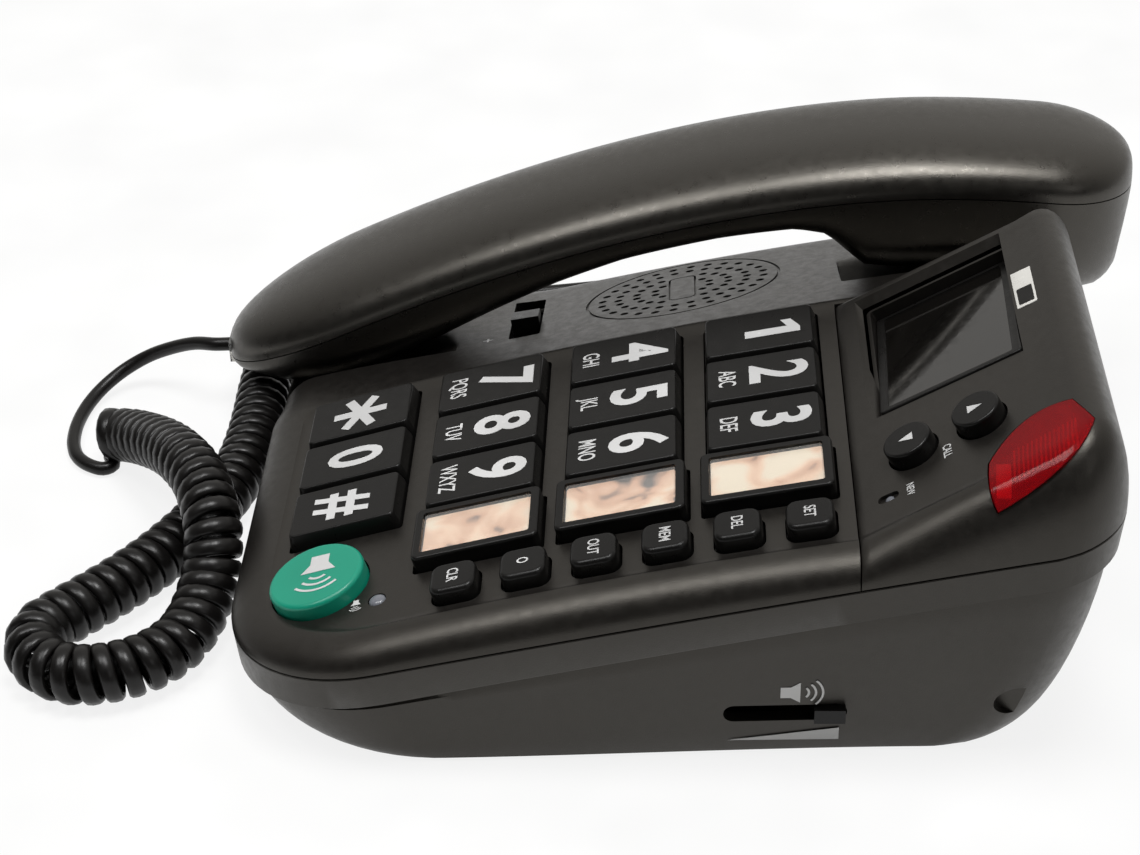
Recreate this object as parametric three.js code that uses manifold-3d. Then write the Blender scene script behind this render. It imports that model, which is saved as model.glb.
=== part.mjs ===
// A corded desk telephone with large keys, three picture keys, a caller display and a call lamp.
// X runs to the user's right, Y to the back and Z up from the table. All lengths are millimetres.
import * as THREE from 'three';
import { mergeVertices } from 'three/addons/utils/BufferGeometryUtils.js';
import Module from 'manifold-3d';

const wasm = await Module();
wasm.setup();

// Overall sizes
const baseWidth = 164;
const handsetLength = 220;
const frontOverhang = 15.5;
const rearOverhang = 20.5;
const frontCorner = 34;
const rearCorner = 16;
const wall = 2.4;
const clearance = 0.3;
const seamGap = 0.4;
const overrun = 40;
const mergeTolerance = 0.0001;

// Heights of the sloping top and of the seam between the covers and the lower housing
const keyTopFront = 24.4;
const keyTopHinge = 56.7;
const keyTopBulge = 2.45;
const keyProud = 3;
const seamFront = 17.8;
const seamRear = 58.5;
const seamBulge = 1;
const shoulder = 8.5;
const displayDepth = 52.8;
const displayShoulder = 11.5;
const displayTilt = THREE.MathUtils.degToRad(29.8);
const shoulderShares = [0, 0.05, 0.2, 0.52, 1];

// Left deck, which falls away from the keypad, and the two wells that hold the handset
const keypadCentreX = 13.5;
const deckCreaseOffset = 30;
const deckSlopeShare = 0.315;
const deckFrontShare = 0.2;
const deckRampEnd = -26.5;
const frontNotch = 6;
const rearNotch = 12.5;
const notchWidth = 14.5;
const mouthWellEnd = -52;
const earWellStart = 40;
const wellClearance = 1.3;
const wellRun = 0.6;
const wellGap = 0.5;

// Handset
const handsetX = -55.5;
const handsetWidth = 43;
const handsetWall = 2.2;
const handsetApexY = 60;
const handsetApexZ = 69.8;
const handsetFrontFall = 52.3;
const handsetRearFall = 4.3;
const handsetFallPowerShare = 1.8;
const handsetCrown = 9.2;
const handsetEarDepth = 24.8;
const mouthEndLength = 33;
const earEndLength = 20;
const mouthTrim = 0.5;
const earTrim = 2.3;
const bluntShare = 0.12;

// Depth of the handset's underside below its seam: place along the handset, then depth, as shares
const undersideShares = [
  [0.002, 0], [0.016, 0.14], [0.046, 0.31], [0.07, 0.46], [0.1, 0.58], [0.136, 0.67], [0.186, 0.72],
  [0.227, 0.69], [0.27, 0.62], [0.32, 0.53], [0.38, 0.43], [0.45, 0.35], [0.55, 0.34], [0.63, 0.38],
  [0.664, 0.5], [0.688, 0.76], [0.705, 0.93], [0.74, 0.99], [0.82, 1], [0.86, 1.03],
  [0.891, 1.08], [0.93, 1.19], [0.958, 1.14], [0.975, 1], [0.99, 0],
];

// Lower housing
const bandHeight = 8.3;
const bandDraft = 0.8;
const stepDepth = 1.2;
const footHeight = 1;
const frontRounding = 7;
const rearRounding = 15.4;
const roundingPowerShare = 1.52;
const cornerGrowth = 3.2;
const sideRounding = 0.4;
const sideTaperFront = 0.2;
const sideTaperRear = 5;

// Keys
const keyPitch = 17.65;
const keyGap = 0.7;
const keyLength = 25.2;
const keyRowPitch = 30.2;
const keyRowsFrontY = -71.3;
const keySkirt = 6.4;
const keyBevel = 0.9;
const keyTravel = 1.5;
const flangeReach = 1.1;
const flangeThickness = 1.2;
const flangeGap = 0.4;
const photoKeyWidth = 17.4;
const photoKeyLength = 27.6;
const photoPocketDepth = 1.6;
const photoBorder = 1.7;
const photoWindowThickness = 0.9;
const functionKeyX = 65.7;
const functionKeyWidth = 9.4;
const functionKeyLength = 9.8;
const functionKeyPitch = 14.44;
const functionKeyFrontY = -44.9;
const functionKeyCorner = 2.4;
const speakerButtonX = 54.7;
const speakerButtonY = -74.9;
const speakerButtonRadius = 10.6;
const roundKeyGap = 0.4;

// Display panel: places are measured up the slope from the hinge line
const windowLeft = -11.6;
const windowRight = 35;
const windowBottom = 5.6;
const windowTop = 40;
const windowThickness = 1.5;
const windowSink = 1.3;
const windowLedge = 2.4;
const moduleThickness = 4.2;
const navButtonX = 52;
const navButtonRadius = 5.2;
const navButtonPlaces = [13.6, 28.8];
const navButtonProud = 3;
const displayLeft = -14.8;
const displayEdge = 0.9;
const statusSlotX = 63.4;
const statusSlotPlace = 7;
const statusSlotWidth = 2.4;
const statusSlotLength = 4.6;
const statusSlotDepth = 1.2;

// Call lamp on the rear right shoulder
const lampX = 69.6;
const lampY = 71;
const lampZ = 71.5;
const lampProud = 0.5;
const lampThickness = 1.8;
const lampLength = 19.6;
const lampHeight = 24;
const lampTurn = THREE.MathUtils.degToRad(6);
const lampPitch = THREE.MathUtils.degToRad(40);
const lampPostX = 66;
const lampPostY = 68;
const lampPostRadius = 3;
const lampPostDrop = 5.2;

// Speaker grille and sliders
const grilleX = -50.9;
const grilleY = 2.6;
const grilleRadius = 24;
const grilleGroove = 0.7;
const grilleGrooveDepth = 0.5;
const grilleHoleRadius = 0.75;
const grilleRings = [[9, 8], [14, 14], [19, 20]];
const loudspeakerRadius = 20;
const loudspeakerDepth = 9;
const volumeSlotX = -50;
const volumeSlotY = -35.2;
const volumeSlotLength = 33;
const volumeKnobShift = 4;
const volumeSlotWidth = 7.6;
const sliderLength = 7;
const sliderProud = 2.2;
const sliderGap = 0.4;
const sliderStem = 4;
const sliderPlate = 1.4;
const sliderPlateMargin = 1.4;
const ringerSlotY = 23.1;
const ringerSlotZ = 12.4;
const ringerSlotLength = 25.4;
const ringerSlotHeight = 4.6;
const ringerKnobLength = 6.4;
const ringerKnobY = 32.2;
const ringerProud = 1.2;
const ringerGap = 2.1;

// Inner parts
const boardThickness = 1.6;
const boardDrop = 13.4;
const boardLeft = -14;
const boardRight = 72;
const boardFrontY = -82;
const boardBackY = 32;
const boardCorner = 8;
const boardPostInset = 4;
const matThickness = 1.8;
const matMargin = 4;
const postRadius = 3.2;
const postSides = 10;
const screwHeadRadius = 3;
const screwHeadHeight = 2;
const screwShankRadius = 1.4;
const screwLength = 8;
const screwHoleDepth = 3.4;
const hookX = -55.5;
const hookY = 66;
const hookRadius = 3.4;
const hookTravel = 4;
const hookLength = 16;

// Underside
const footRadius = 6;
const footThickness = 1.7;
const footInsetX = 22;
const footFrontY = -52;
const footBackY = 48;
const doorWidth = 44;
const doorLength = 58;
const doorThickness = 1.6;
const doorX = 22;
const doorY = 2;
const doorTravel = 6;
const doorLip = 2;

// Modular jacks and plugs
const jackWidth = 12.6;
const jackHeight = 11;
const jackDepth = 13;
const jackWall = 1.6;
const lineJackX = 10;
const lineJackZ = 30;
const cordJackY = 0;
const cordJackZ = 9.5;
const plugWidth = 7.6;
const plugHeight = 5.6;
const plugLength = 12;

// Curly cord
const leadWidth = 3.4;
const leadSides = 8;
const ribbonWidth = 3.9;
const ribbonThickness = 2.4;
const coilRadius = 5.5;
const curlCount = 66;
const curlSteps = 8;
const ribbonSides = 5;

// Round counts for turned and rounded shapes
const cornerSteps = 3;
const roundSteps = 20;
const smallRoundSteps = 12;

// Values that follow from the sizes above
const halfWidth = baseWidth / 2;
const baseFront = frontOverhang - handsetLength / 2;
const baseBack = handsetLength / 2 - rearOverhang;
const baseMiddleY = (baseFront + baseBack) / 2;
const halfDepth = (baseBack - baseFront) / 2;
const cornerAt = (y) => (y < baseMiddleY ? frontCorner : rearCorner);
const hingeY = baseBack - displayDepth;
const creaseX = keypadCentreX - deckCreaseOffset;
const handsetHalf = handsetWidth / 2;
const wellLeft = handsetX - handsetHalf - wellClearance;
const wellRight = handsetX + handsetHalf + wellClearance;
const hingeZ = keyTopHinge - keyProud;

// Curved heights along the depth of the telephone
const keyRun = hingeY - baseFront;

function arcHeight(share, start, end, bulge) {
  return start + (end - start) * share + bulge * 4 * share * (1 - share);
}

function keyTop(y) {
  return arcHeight((y - baseFront) / keyRun, keyTopFront, keyTopHinge, keyTopBulge);
}

function keySlope(y) {
  const share = (y - baseFront) / keyRun;
  return Math.atan((keyTopHinge - keyTopFront + keyTopBulge * 4 * (1 - 2 * share)) / keyRun);
}

function smooth(value) {
  const share = Math.min(Math.max(value, 0), 1);
  return share * share * (3 - 2 * share);
}

function deckDrop(x, y) {
  const along = smooth((y - baseFront) / (deckRampEnd - baseFront));
  const strength = deckFrontShare + (1 - deckFrontShare) * along;
  return Math.max(creaseX - x, 0) * deckSlopeShare * strength;
}

function panelHeight(x, y) {
  return keyTop(y) - keyProud - deckDrop(x, y);
}

function seamHeight(x, y) {
  const level = arcHeight((y - baseFront) / (baseBack - baseFront), seamFront, seamRear, seamBulge);
  const notch = smooth((creaseX - x) / notchWidth);
  const front = frontNotch * smooth((mouthWellEnd - y) / (mouthWellEnd - baseFront) * 2);
  const rear = rearNotch * smooth((y - earWellStart) / (baseBack - earWellStart) * 2);
  return level - deckDrop(x, y) - notch * (front + rear);
}

// Plan outline of the base: a rectangle with round corners, inset by a skin where one is given
function edgeDistance(x, y, inset) {
  const radius = cornerAt(y) - inset;
  const acrossX = Math.abs(x) - (halfWidth - inset - radius);
  const acrossY = Math.abs(y - baseMiddleY) - (halfDepth - inset - radius);
  const beyond = Math.hypot(Math.max(acrossX, 0), Math.max(acrossY, 0));
  return radius - beyond - Math.min(Math.max(acrossX, acrossY), 0);
}

function sideAt(y, inset) {
  const radius = cornerAt(y) - inset;
  const beyond = Math.abs(y - baseMiddleY) - (halfDepth - inset - radius);
  const turn = Math.sqrt(Math.max(radius * radius - Math.max(beyond, 0) ** 2, 0));
  return halfWidth - inset - radius + turn;
}

function roundedRise(distance, width) {
  const share = Math.min(Math.max(distance / width, 0), 1);
  return Math.sqrt(1 - (1 - share) ** 2);
}

// Handset curves: seam height, depth of the underside, and half width along its length
function handsetSeam(y) {
  if (y > handsetApexY) {
    const share = (y - handsetApexY) / (handsetLength / 2 - handsetApexY);
    return handsetApexZ - handsetRearFall * share * share;
  }
  const share = (handsetApexY - y) / (handsetApexY + handsetLength / 2);
  return handsetApexZ - handsetFrontFall * share ** handsetFallPowerShare;
}

function handsetUnderDepth(y) {
  const place = Math.min(Math.max(y / handsetLength + 0.5, 0), 1);
  const after = Math.max(undersideShares.findIndex(([share]) => share >= place), 1);
  const [startShare, startDepth] = undersideShares[after - 1];
  const [endShare, endDepth] = undersideShares[after];
  const share = (place - startShare) / (endShare - startShare);
  return handsetEarDepth * (startDepth + (endDepth - startDepth) * share);
}

function handsetEndShare(y, inset) {
  const [trim, length] = y < 0 ? [mouthTrim, mouthEndLength] : [earTrim, earEndLength];
  const fromEnd = Math.max(handsetLength / 2 - trim - inset - Math.abs(y), 0);
  return bluntShare + (1 - bluntShare) * roundedRise(fromEnd, length - inset);
}

// Mesh builders
function bufferOf(points, index) {
  const geometry = new THREE.BufferGeometry();
  const positions = points.flatMap((point) => [point.x, point.y, point.z]);
  geometry.setAttribute('position', new THREE.Float32BufferAttribute(positions, 3));
  geometry.setIndex(index);
  return geometry;
}

function weld(geometry) {
  const bare = new THREE.BufferGeometry();
  bare.setAttribute('position', geometry.getAttribute('position'));
  bare.setIndex(geometry.getIndex());
  const merged = mergeVertices(bare, mergeTolerance);
  const kept = [];
  const index = merged.getIndex().array;
  for (let i = 0; i < index.length; i += 3) {
    const [a, b, c] = [index[i], index[i + 1], index[i + 2]];
    if (a !== b && b !== c && a !== c) {
      kept.push(a, b, c);
    }
  }
  merged.setIndex(kept);
  return merged;
}

function solidOf(geometry) {
  const welded = weld(geometry);
  return new wasm.Manifold(new wasm.Mesh({
    numProp: 3,
    vertProperties: Float32Array.from(welded.getAttribute('position').array),
    triVerts: Uint32Array.from(welded.getIndex().array),
  }));
}

function geometryOf(solid) {
  const mesh = solid.getMesh();
  const geometry = new THREE.BufferGeometry();
  geometry.setAttribute('position', new THREE.BufferAttribute(Float32Array.from(mesh.vertProperties), 3));
  geometry.setIndex(Array.from(mesh.triVerts));
  return geometry;
}

function placed(geometry, x, y, z, turnX = 0, turnY = 0, turnZ = 0) {
  const turn = new THREE.Matrix4().makeRotationFromEuler(new THREE.Euler(turnX, turnY, turnZ));
  return geometry.clone().applyMatrix4(turn).translate(x, y, z);
}

function box(left, right, front, back, bottom, top) {
  const geometry = new THREE.BoxGeometry(right - left, back - front, top - bottom);
  return geometry.translate((left + right) / 2, (front + back) / 2, (bottom + top) / 2);
}

function disc(radius, bottom, top, steps = smallRoundSteps) {
  const geometry = new THREE.CylinderGeometry(radius, radius, top - bottom, steps);
  return geometry.rotateX(Math.PI / 2).translate(0, 0, (bottom + top) / 2);
}

function roundedPlate(width, length, radius, bottom, top, steps = cornerSteps) {
  const shape = new THREE.Shape();
  const right = width / 2;
  const back = length / 2;
  shape.absarc(right - radius, back - radius, radius, 0, Math.PI / 2);
  shape.absarc(radius - right, back - radius, radius, Math.PI / 2, Math.PI);
  shape.absarc(radius - right, radius - back, radius, Math.PI, Math.PI * 1.5);
  shape.absarc(right - radius, radius - back, radius, Math.PI * 1.5, Math.PI * 2);
  const options = { depth: top - bottom, bevelEnabled: false, curveSegments: steps };
  return new THREE.ExtrudeGeometry(shape, options).translate(0, 0, bottom);
}

function joined(geometries) {
  return geometries.map(solidOf).reduce((whole, piece) => whole.add(piece));
}

function cutFrom(solid, geometries) {
  return geometries.map(solidOf).reduce((rest, piece) => rest.subtract(piece), solid);
}

// A skin between two grids of points with the same rows and columns, closed round its border
function skinGeometry(outer, inner) {
  const rows = outer.length;
  const columns = outer[0].length;
  const offset = rows * columns;
  const index = [];
  const at = (row, column) => row * columns + column;
  const quad = (a, b, c, d) => index.push(a, b, c, a, c, d);
  for (let row = 0; row < rows - 1; row += 1) {
    for (let column = 0; column < columns - 1; column += 1) {
      const corners = [at(row, column), at(row, column + 1), at(row + 1, column + 1), at(row + 1, column)];
      quad(...corners);
      quad(...corners.reverse().map((corner) => corner + offset));
    }
  }
  const border = borderOf(outer.map((line, row) => line.map((point, column) => at(row, column))));
  border.forEach((a, place) => {
    const b = border[(place + 1) % border.length];
    quad(a + offset, b + offset, b, a);
  });
  return bufferOf([...outer.flat(), ...inner.flat()], index);
}

// The border of a grid, counter-clockwise seen from above
function borderOf(grid) {
  const last = grid.length - 1;
  const front = grid[0];
  const right = grid.slice(1, last).map((line) => line[line.length - 1]);
  const back = grid[last].slice().reverse();
  const left = grid.slice(1, last).map((line) => line[0]).reverse();
  return [...front, ...right, ...back, ...left];
}

// Main cover: its rows and columns follow the wells, the crease of the deck and the rounded shoulders
function coverRows(inset) {
  const endDepth = (shoulder + frontNotch / 4) * 0.98;
  const front = [...shoulderShares, 1.75, 2.5].map((share) => baseFront + inset + share * endDepth);
  const back = [...shoulderShares, rearCorner / endDepth].map((share) => baseBack - inset - share * endDepth).reverse();
  const mouthSteps = [0.68, 0.8].map((share) => baseFront + (mouthWellEnd - baseFront) * share);
  const mouth = [...mouthSteps, mouthWellEnd + inset, mouthWellEnd + inset + wellRun];
  const ear = [earWellStart - inset - wellRun, earWellStart - inset];
  const between = [0.16, 0.32, 0.5, 0.67, 0.83].map((share) => mouthWellEnd + (earWellStart - mouthWellEnd) * share);
  const rear = [earWellStart + (baseBack - earWellStart) * 0.32];
  return [...front, ...mouth, ...between, ...ear, ...rear, ...back];
}

function coverColumns(y, inset) {
  const side = sideAt(y, inset);
  const left = [0, 0.05, 0.2, 0.35].map((share) => share * shoulder - side);
  const right = shoulderShares.map((share) => side - share * shoulder).reverse();
  const start = left[left.length - 1];
  const fixed = [wellLeft, handsetX - handsetHalf / 2, handsetX, handsetX + handsetHalf / 2];
  fixed.push(wellRight + inset, wellRight + inset + wellRun, creaseX, keypadCentreX);
  const middle = fixed.map((x, place) => Math.max(x, start + (place + 1) * wellRun));
  return [...left, ...middle, ...right];
}

function wellFloor(x, y, inset) {
  const half = wellRun / 2;
  if (x > wellRight + inset + half || x < wellLeft - inset - half) {
    return Infinity;
  }
  if (y < mouthWellEnd + inset + half) {
    const under = Math.max(y, baseFront);
    return handsetSeam(under) - handsetUnderDepth(under) - wellGap - inset;
  }
  if (y > earWellStart - inset - half) {
    return handsetSeam(y) - Math.max(handsetUnderDepth(y), handsetEarDepth) - wellGap - inset;
  }
  return Infinity;
}

function coverGrid(inset) {
  const rows = coverRows(inset);
  return rows.map((y, row) => {
    const columns = coverColumns(y, inset);
    return columns.map((x, column) => {
      const seam = seamHeight(x, y);
      const onBorder = row === 0 || row === rows.length - 1 || column === 0 || column === columns.length - 1;
      if (onBorder) {
        return new THREE.Vector3(x, y, seam);
      }
      const rise = roundedRise(edgeDistance(x, y, inset), shoulder);
      const top = seam + (panelHeight(x, y) - inset - seam) * rise;
      return new THREE.Vector3(x, y, Math.min(top, wellFloor(x, y, inset)));
    });
  });
}

const coverOuter = coverGrid(0);
const coverInner = coverGrid(wall);

// Places on the sloping panels: geometry made flat, with its top at zero, is turned to lie there
function onKeys(geometry, x, y, height = 0) {
  const slope = keySlope(y);
  return placed(geometry, x, y - height * Math.sin(slope), keyTop(y) + height * Math.cos(slope), slope);
}

function onDisplay(geometry, x, place, height = 0) {
  const y = hingeY + place * Math.cos(displayTilt) - height * Math.sin(displayTilt);
  const z = hingeZ + place * Math.sin(displayTilt) + height * Math.cos(displayTilt);
  return placed(geometry, x, y, z, displayTilt);
}

function onDeck(geometry, x, y, height = 0) {
  const riseX = (panelHeight(x + wall, y) - panelHeight(x - wall, y)) / (wall * 2);
  const riseY = (panelHeight(x, y + wall) - panelHeight(x, y - wall)) / (wall * 2);
  const normal = new THREE.Vector3(-riseX, -riseY, 1).normalize();
  const across = new THREE.Vector3(1, 0, riseX).normalize();
  const along = new THREE.Vector3().crossVectors(normal, across);
  const lie = new THREE.Matrix4().makeBasis(across, along, normal);
  return geometry.clone().translate(0, 0, height).applyMatrix4(lie).translate(x, y, panelHeight(x, y));
}

// Key places
const keyRowYs = [0, 1, 2, 3].map((row) => keyRowsFrontY + row * keyRowPitch);
const keyColumnXs = [-1, 0, 1].map((column) => keypadCentreX + column * keyPitch);
const photoKeyX = keypadCentreX + keyPitch * 1.5 + photoKeyWidth / 2 + keyGap / 2;
const functionKeyYs = [0, 1, 2, 3, 4, 5].map((key) => functionKeyFrontY + key * functionKeyPitch);
const keyNames = [
  ['key_star', 'key_0', 'key_hash'],
  ['key_7', 'key_8', 'key_9'],
  ['key_4', 'key_5', 'key_6'],
  ['key_1', 'key_2', 'key_3'],
];
const cutTop = overrun;

function keyOpenings() {
  const cuts = [];
  keyRowYs.forEach((y, row) => {
    const left = keyColumnXs[0] - keyPitch / 2;
    const right = keyColumnXs[2] + keyPitch / 2;
    const halfKey = keyLength / 2 + roundKeyGap;
    cuts.push(onKeys(box(left, right, -halfKey, halfKey, -overrun, cutTop), 0, y));
    if (row > 0) {
      const halfPhoto = photoKeyLength / 2 + roundKeyGap;
      const photoRight = photoKeyX + photoKeyWidth / 2 + roundKeyGap;
      cuts.push(onKeys(box(right - wellRun, photoRight, -halfPhoto, halfPhoto, -overrun, cutTop), 0, y));
    }
  });
  functionKeyYs.forEach((y) => {
    const width = functionKeyWidth + roundKeyGap * 2;
    const length = functionKeyLength + roundKeyGap * 2;
    const opening = roundedPlate(width, length, functionKeyCorner, -overrun, cutTop, 1);
    cuts.push(onKeys(opening, functionKeyX, y));
  });
  const round = disc(speakerButtonRadius + roundKeyGap, -overrun, cutTop, roundSteps);
  cuts.push(onKeys(round, speakerButtonX, speakerButtonY));
  return cuts;
}

function grilleCuts() {
  const outer = solidOf(disc(grilleRadius, -grilleGrooveDepth, overrun, roundSteps));
  const core = solidOf(disc(grilleRadius - grilleGroove, -overrun, overrun * 2, roundSteps));
  const cuts = [onDeck(geometryOf(outer.subtract(core)), grilleX, grilleY)];
  grilleRings.forEach(([radius, count]) => {
    for (let hole = 0; hole < count; hole += 1) {
      const angle = (hole / count) * Math.PI * 2;
      const cut = disc(grilleHoleRadius, -wall * 2, wall, 4);
      cut.translate(radius * Math.cos(angle), radius * Math.sin(angle), 0);
      cuts.push(onDeck(cut, grilleX, grilleY));
    }
  });
  return cuts;
}

function keypadCover() {
  let cover = solidOf(skinGeometry(coverOuter, coverInner));
  const displayCut = box(displayLeft - clearance, overrun * 4, hingeY, overrun * 4, -overrun, overrun * 4);
  cover = cutFrom(cover, [displayCut, ...keyOpenings(), ...grilleCuts()]);
  const slot = roundedPlate(volumeSlotLength, volumeSlotWidth, wellRun, -overrun, cutTop, 1);
  const hook = placed(disc(hookRadius + clearance, -overrun, overrun * 2), hookX, hookY, handsetApexZ - overrun);
  return cutFrom(cover, [onDeck(slot, volumeSlotX, volumeSlotY), hook]);
}

// Display cover: the raised block behind the hinge line
function displayTop(y, inset) {
  return hingeZ + (y - hingeY) * Math.tan(displayTilt) - inset / Math.cos(displayTilt);
}

function displayGrid(inset) {
  const matching = coverRows(inset).filter((y) => y > earWellStart + wall);
  const start = hingeY + clearance;
  const rows = [start, start + (earWellStart - hingeY) * 2, ...matching];
  return rows.map((y, row) => {
    const side = sideAt(y, inset);
    const width = shoulder + (displayShoulder - shoulder) * ((y - hingeY) / displayDepth);
    const leftWall = displayLeft + inset;
    const seamHere = (x) => seamHeight(x, Math.min(y, baseBack));
    const heightAt = (x) => {
      const rise = row === rows.length - 1 ? 0 : roundedRise(edgeDistance(x, y, inset), width);
      return seamHere(x) + (displayTop(y, inset) - seamHere(x)) * rise;
    };
    const plain = [leftWall + displayEdge, windowRight / 2 - windowLeft / 2, windowRight + windowLedge];
    const right = shoulderShares.map((share) => side - share * width).reverse();
    const foot = new THREE.Vector3(leftWall, y, seamHere(leftWall));
    const brow = new THREE.Vector3(leftWall, y, Math.max(heightAt(leftWall) - displayEdge, foot.z));
    const across = [...plain, ...right].map((x, place) => {
      const onBorder = place === plain.length + right.length - 1;
      return new THREE.Vector3(x, y, onBorder ? seamHere(x) : heightAt(x));
    });
    return [foot, brow, ...across];
  });
}

function lampPrism(grow) {
  const shape = new THREE.Shape();
  const right = lampLength / 2 + grow;
  const top = lampHeight / 2 + grow;
  shape.moveTo(-right * 0.76, -top);
  shape.quadraticCurveTo(right * 0.69, -top * 0.23, right, top * 0.6);
  shape.lineTo(right * 0.6, top * 0.96);
  shape.quadraticCurveTo(-right * 0.37, top * 0.79, -right * 0.96, -top * 0.18);
  shape.quadraticCurveTo(-right, -top * 0.67, -right * 0.76, -top);
  const options = { depth: overrun, bevelEnabled: false, curveSegments: 8 };
  const prism = new THREE.ExtrudeGeometry(shape, options).translate(0, 0, -overrun / 2);
  // The outline stands up in a plane that faces right, upwards and a little forwards
  prism.applyMatrix4(new THREE.Matrix4().makeBasis(
    new THREE.Vector3(0, 1, 0),
    new THREE.Vector3(0, 0, 1),
    new THREE.Vector3(1, 0, 0),
  ));
  return placed(prism.rotateY(-lampPitch), lampX, lampY, lampZ, 0, 0, -lampTurn);
}

const displayPanelMiddle = (windowLeft + windowRight) / 2;
const windowWidth = windowRight - windowLeft;
const windowLength = windowTop - windowBottom;
const windowPlace = (windowTop + windowBottom) / 2;

function displayCover() {
  const cover = solidOf(skinGeometry(displayGrid(0), displayGrid(wall)));
  const pocket = roundedPlate(windowWidth, windowLength, wellRun, -windowSink - windowThickness - clearance, cutTop, 1);
  const sight = box(
    windowLedge - windowWidth / 2, windowWidth / 2 - windowLedge,
    windowLedge - windowLength / 2, windowLength / 2 - windowLedge, -overrun, cutTop,
  );
  const cuts = [onDisplay(pocket, displayPanelMiddle, windowPlace), onDisplay(sight, displayPanelMiddle, windowPlace)];
  navButtonPlaces.forEach((place) => {
    cuts.push(onDisplay(disc(navButtonRadius + roundKeyGap, -overrun / 2, cutTop, roundSteps), navButtonX, place));
  });
  const status = roundedPlate(statusSlotWidth, statusSlotLength, statusSlotWidth / 3, -statusSlotDepth, cutTop, 1);
  cuts.push(onDisplay(status, statusSlotX, statusSlotPlace), lampPrism(clearance));
  return cutFrom(cover, cuts);
}

function lampLens() {
  const skin = solidOf(skinGeometry(displayGrid(-lampProud), displayGrid(lampThickness)));
  return skin.intersect(solidOf(lampPrism(0)));
}

// Lower housing: rings of points that follow the seam down to the flat bottom
function ringPoint(point, level) {
  const { sideInset, frontInset, backInset, growth } = level;
  const corner = cornerAt(point.y);
  const radius = corner + growth;
  const oldX = halfWidth - corner;
  const oldFront = baseFront + frontCorner;
  const oldBack = baseBack - rearCorner;
  const newX = halfWidth - sideInset - radius;
  const newFront = baseFront + frontInset + frontCorner + growth;
  const newBack = baseBack - backInset - rearCorner - growth;
  const turnedX = point.x / oldX;
  const along = (point.y - oldFront) / (oldBack - oldFront);
  const beyondX = Math.max(Math.abs(point.x) - oldX, 0) / corner;
  const beyondFront = Math.max(oldFront - point.y, 0) / corner;
  const beyondBack = Math.max(point.y - oldBack, 0) / corner;
  const x = Math.sign(point.x) * (Math.min(Math.abs(turnedX), 1) * newX + beyondX * radius);
  const straightY = newFront + (newBack - newFront) * Math.min(Math.max(along, 0), 1);
  return [x, straightY - beyondFront * radius + beyondBack * radius];
}

function sideTaper(y) {
  return sideTaperFront + (sideTaperRear - sideTaperFront) * smooth((y - baseFront) / (baseBack - baseFront));
}

function housingRing(border, fall, skin) {
  // fall runs from zero at the step below the band to one at the bottom
  const curve = 1 - Math.sqrt(1 - fall ** roundingPowerShare);
  const level = {
    sideInset: bandDraft + stepDepth + skin + sideRounding * Math.max(fall * 5 - 4, 0) ** 2,
    frontInset: bandDraft + stepDepth + skin + frontRounding * curve,
    backInset: bandDraft + stepDepth + skin + rearRounding * curve,
    growth: cornerGrowth * curve - skin,
  };
  return border.map((point) => {
    const [x, y] = ringPoint(point, level);
    const stepZ = point.z - seamGap - bandOf(point);
    const bottom = footHeight + skin;
    return new THREE.Vector3(x - Math.sign(x) * sideTaper(point.y) * fall, y, stepZ + (bottom - stepZ) * fall);
  });
}

function bandOf(point) {
  return Math.min(bandHeight, (point.z - footHeight) / 2);
}

function bandRing(border, inset, share) {
  const level = { sideInset: inset, frontInset: inset, backInset: inset, growth: -inset };
  return border.map((point) => {
    const [x, y] = ringPoint(point, level);
    return new THREE.Vector3(x, y, point.z - seamGap - bandOf(point) * share);
  });
}

function bowlGeometry(outerRings, innerRings) {
  const count = outerRings[0].length;
  const rings = [...outerRings, ...innerRings];
  const points = rings.flat();
  const index = [];
  const quad = (a, b, c, d) => index.push(a, b, c, a, c, d);
  const around = (draw) => {
    for (let place = 0; place < count; place += 1) {
      draw(place, (place + 1) % count);
    }
  };
  const wallBetween = (upper, lower, outward) => around((a, b) => {
    const corners = [lower * count + a, lower * count + b, upper * count + b, upper * count + a];
    quad(...(outward ? corners : corners.reverse()));
  });
  const middleOf = (ring) => {
    const sum = ring.reduce((total, point) => total.add(point), new THREE.Vector3());
    return sum.divideScalar(ring.length).setY(baseMiddleY);
  };
  for (let ring = 0; ring < outerRings.length - 1; ring += 1) {
    wallBetween(ring, ring + 1, true);
  }
  const innerStart = outerRings.length;
  for (let ring = innerStart; ring < rings.length - 1; ring += 1) {
    wallBetween(ring, ring + 1, false);
  }
  around((a, b) => quad(a, b, innerStart * count + b, innerStart * count + a));
  const bottomRing = outerRings.length - 1;
  const floorRing = rings.length - 1;
  points.push(middleOf(rings[bottomRing]), middleOf(rings[floorRing]));
  const bottomMiddle = points.length - 2;
  around((a, b) => index.push(bottomMiddle, bottomRing * count + b, bottomRing * count + a));
  around((a, b) => index.push(bottomMiddle + 1, floorRing * count + a, floorRing * count + b));
  return bufferOf(points, index);
}

// Places under the base
const footPlaces = [
  ['foot_front_left', footInsetX - halfWidth, footFrontY], ['foot_front_right', halfWidth - footInsetX, footFrontY],
  ['foot_rear_left', footInsetX - halfWidth, footBackY], ['foot_rear_right', halfWidth - footInsetX, footBackY],
];
const screwInset = footInsetX + footRadius * 2;
const screwPlaces = [
  ['screw_front_left', screwInset - halfWidth, footFrontY], ['screw_front_right', halfWidth - screwInset, footFrontY],
  ['screw_rear_left', screwInset - halfWidth, footBackY], ['screw_rear_right', halfWidth - screwInset, footBackY],
];

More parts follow.
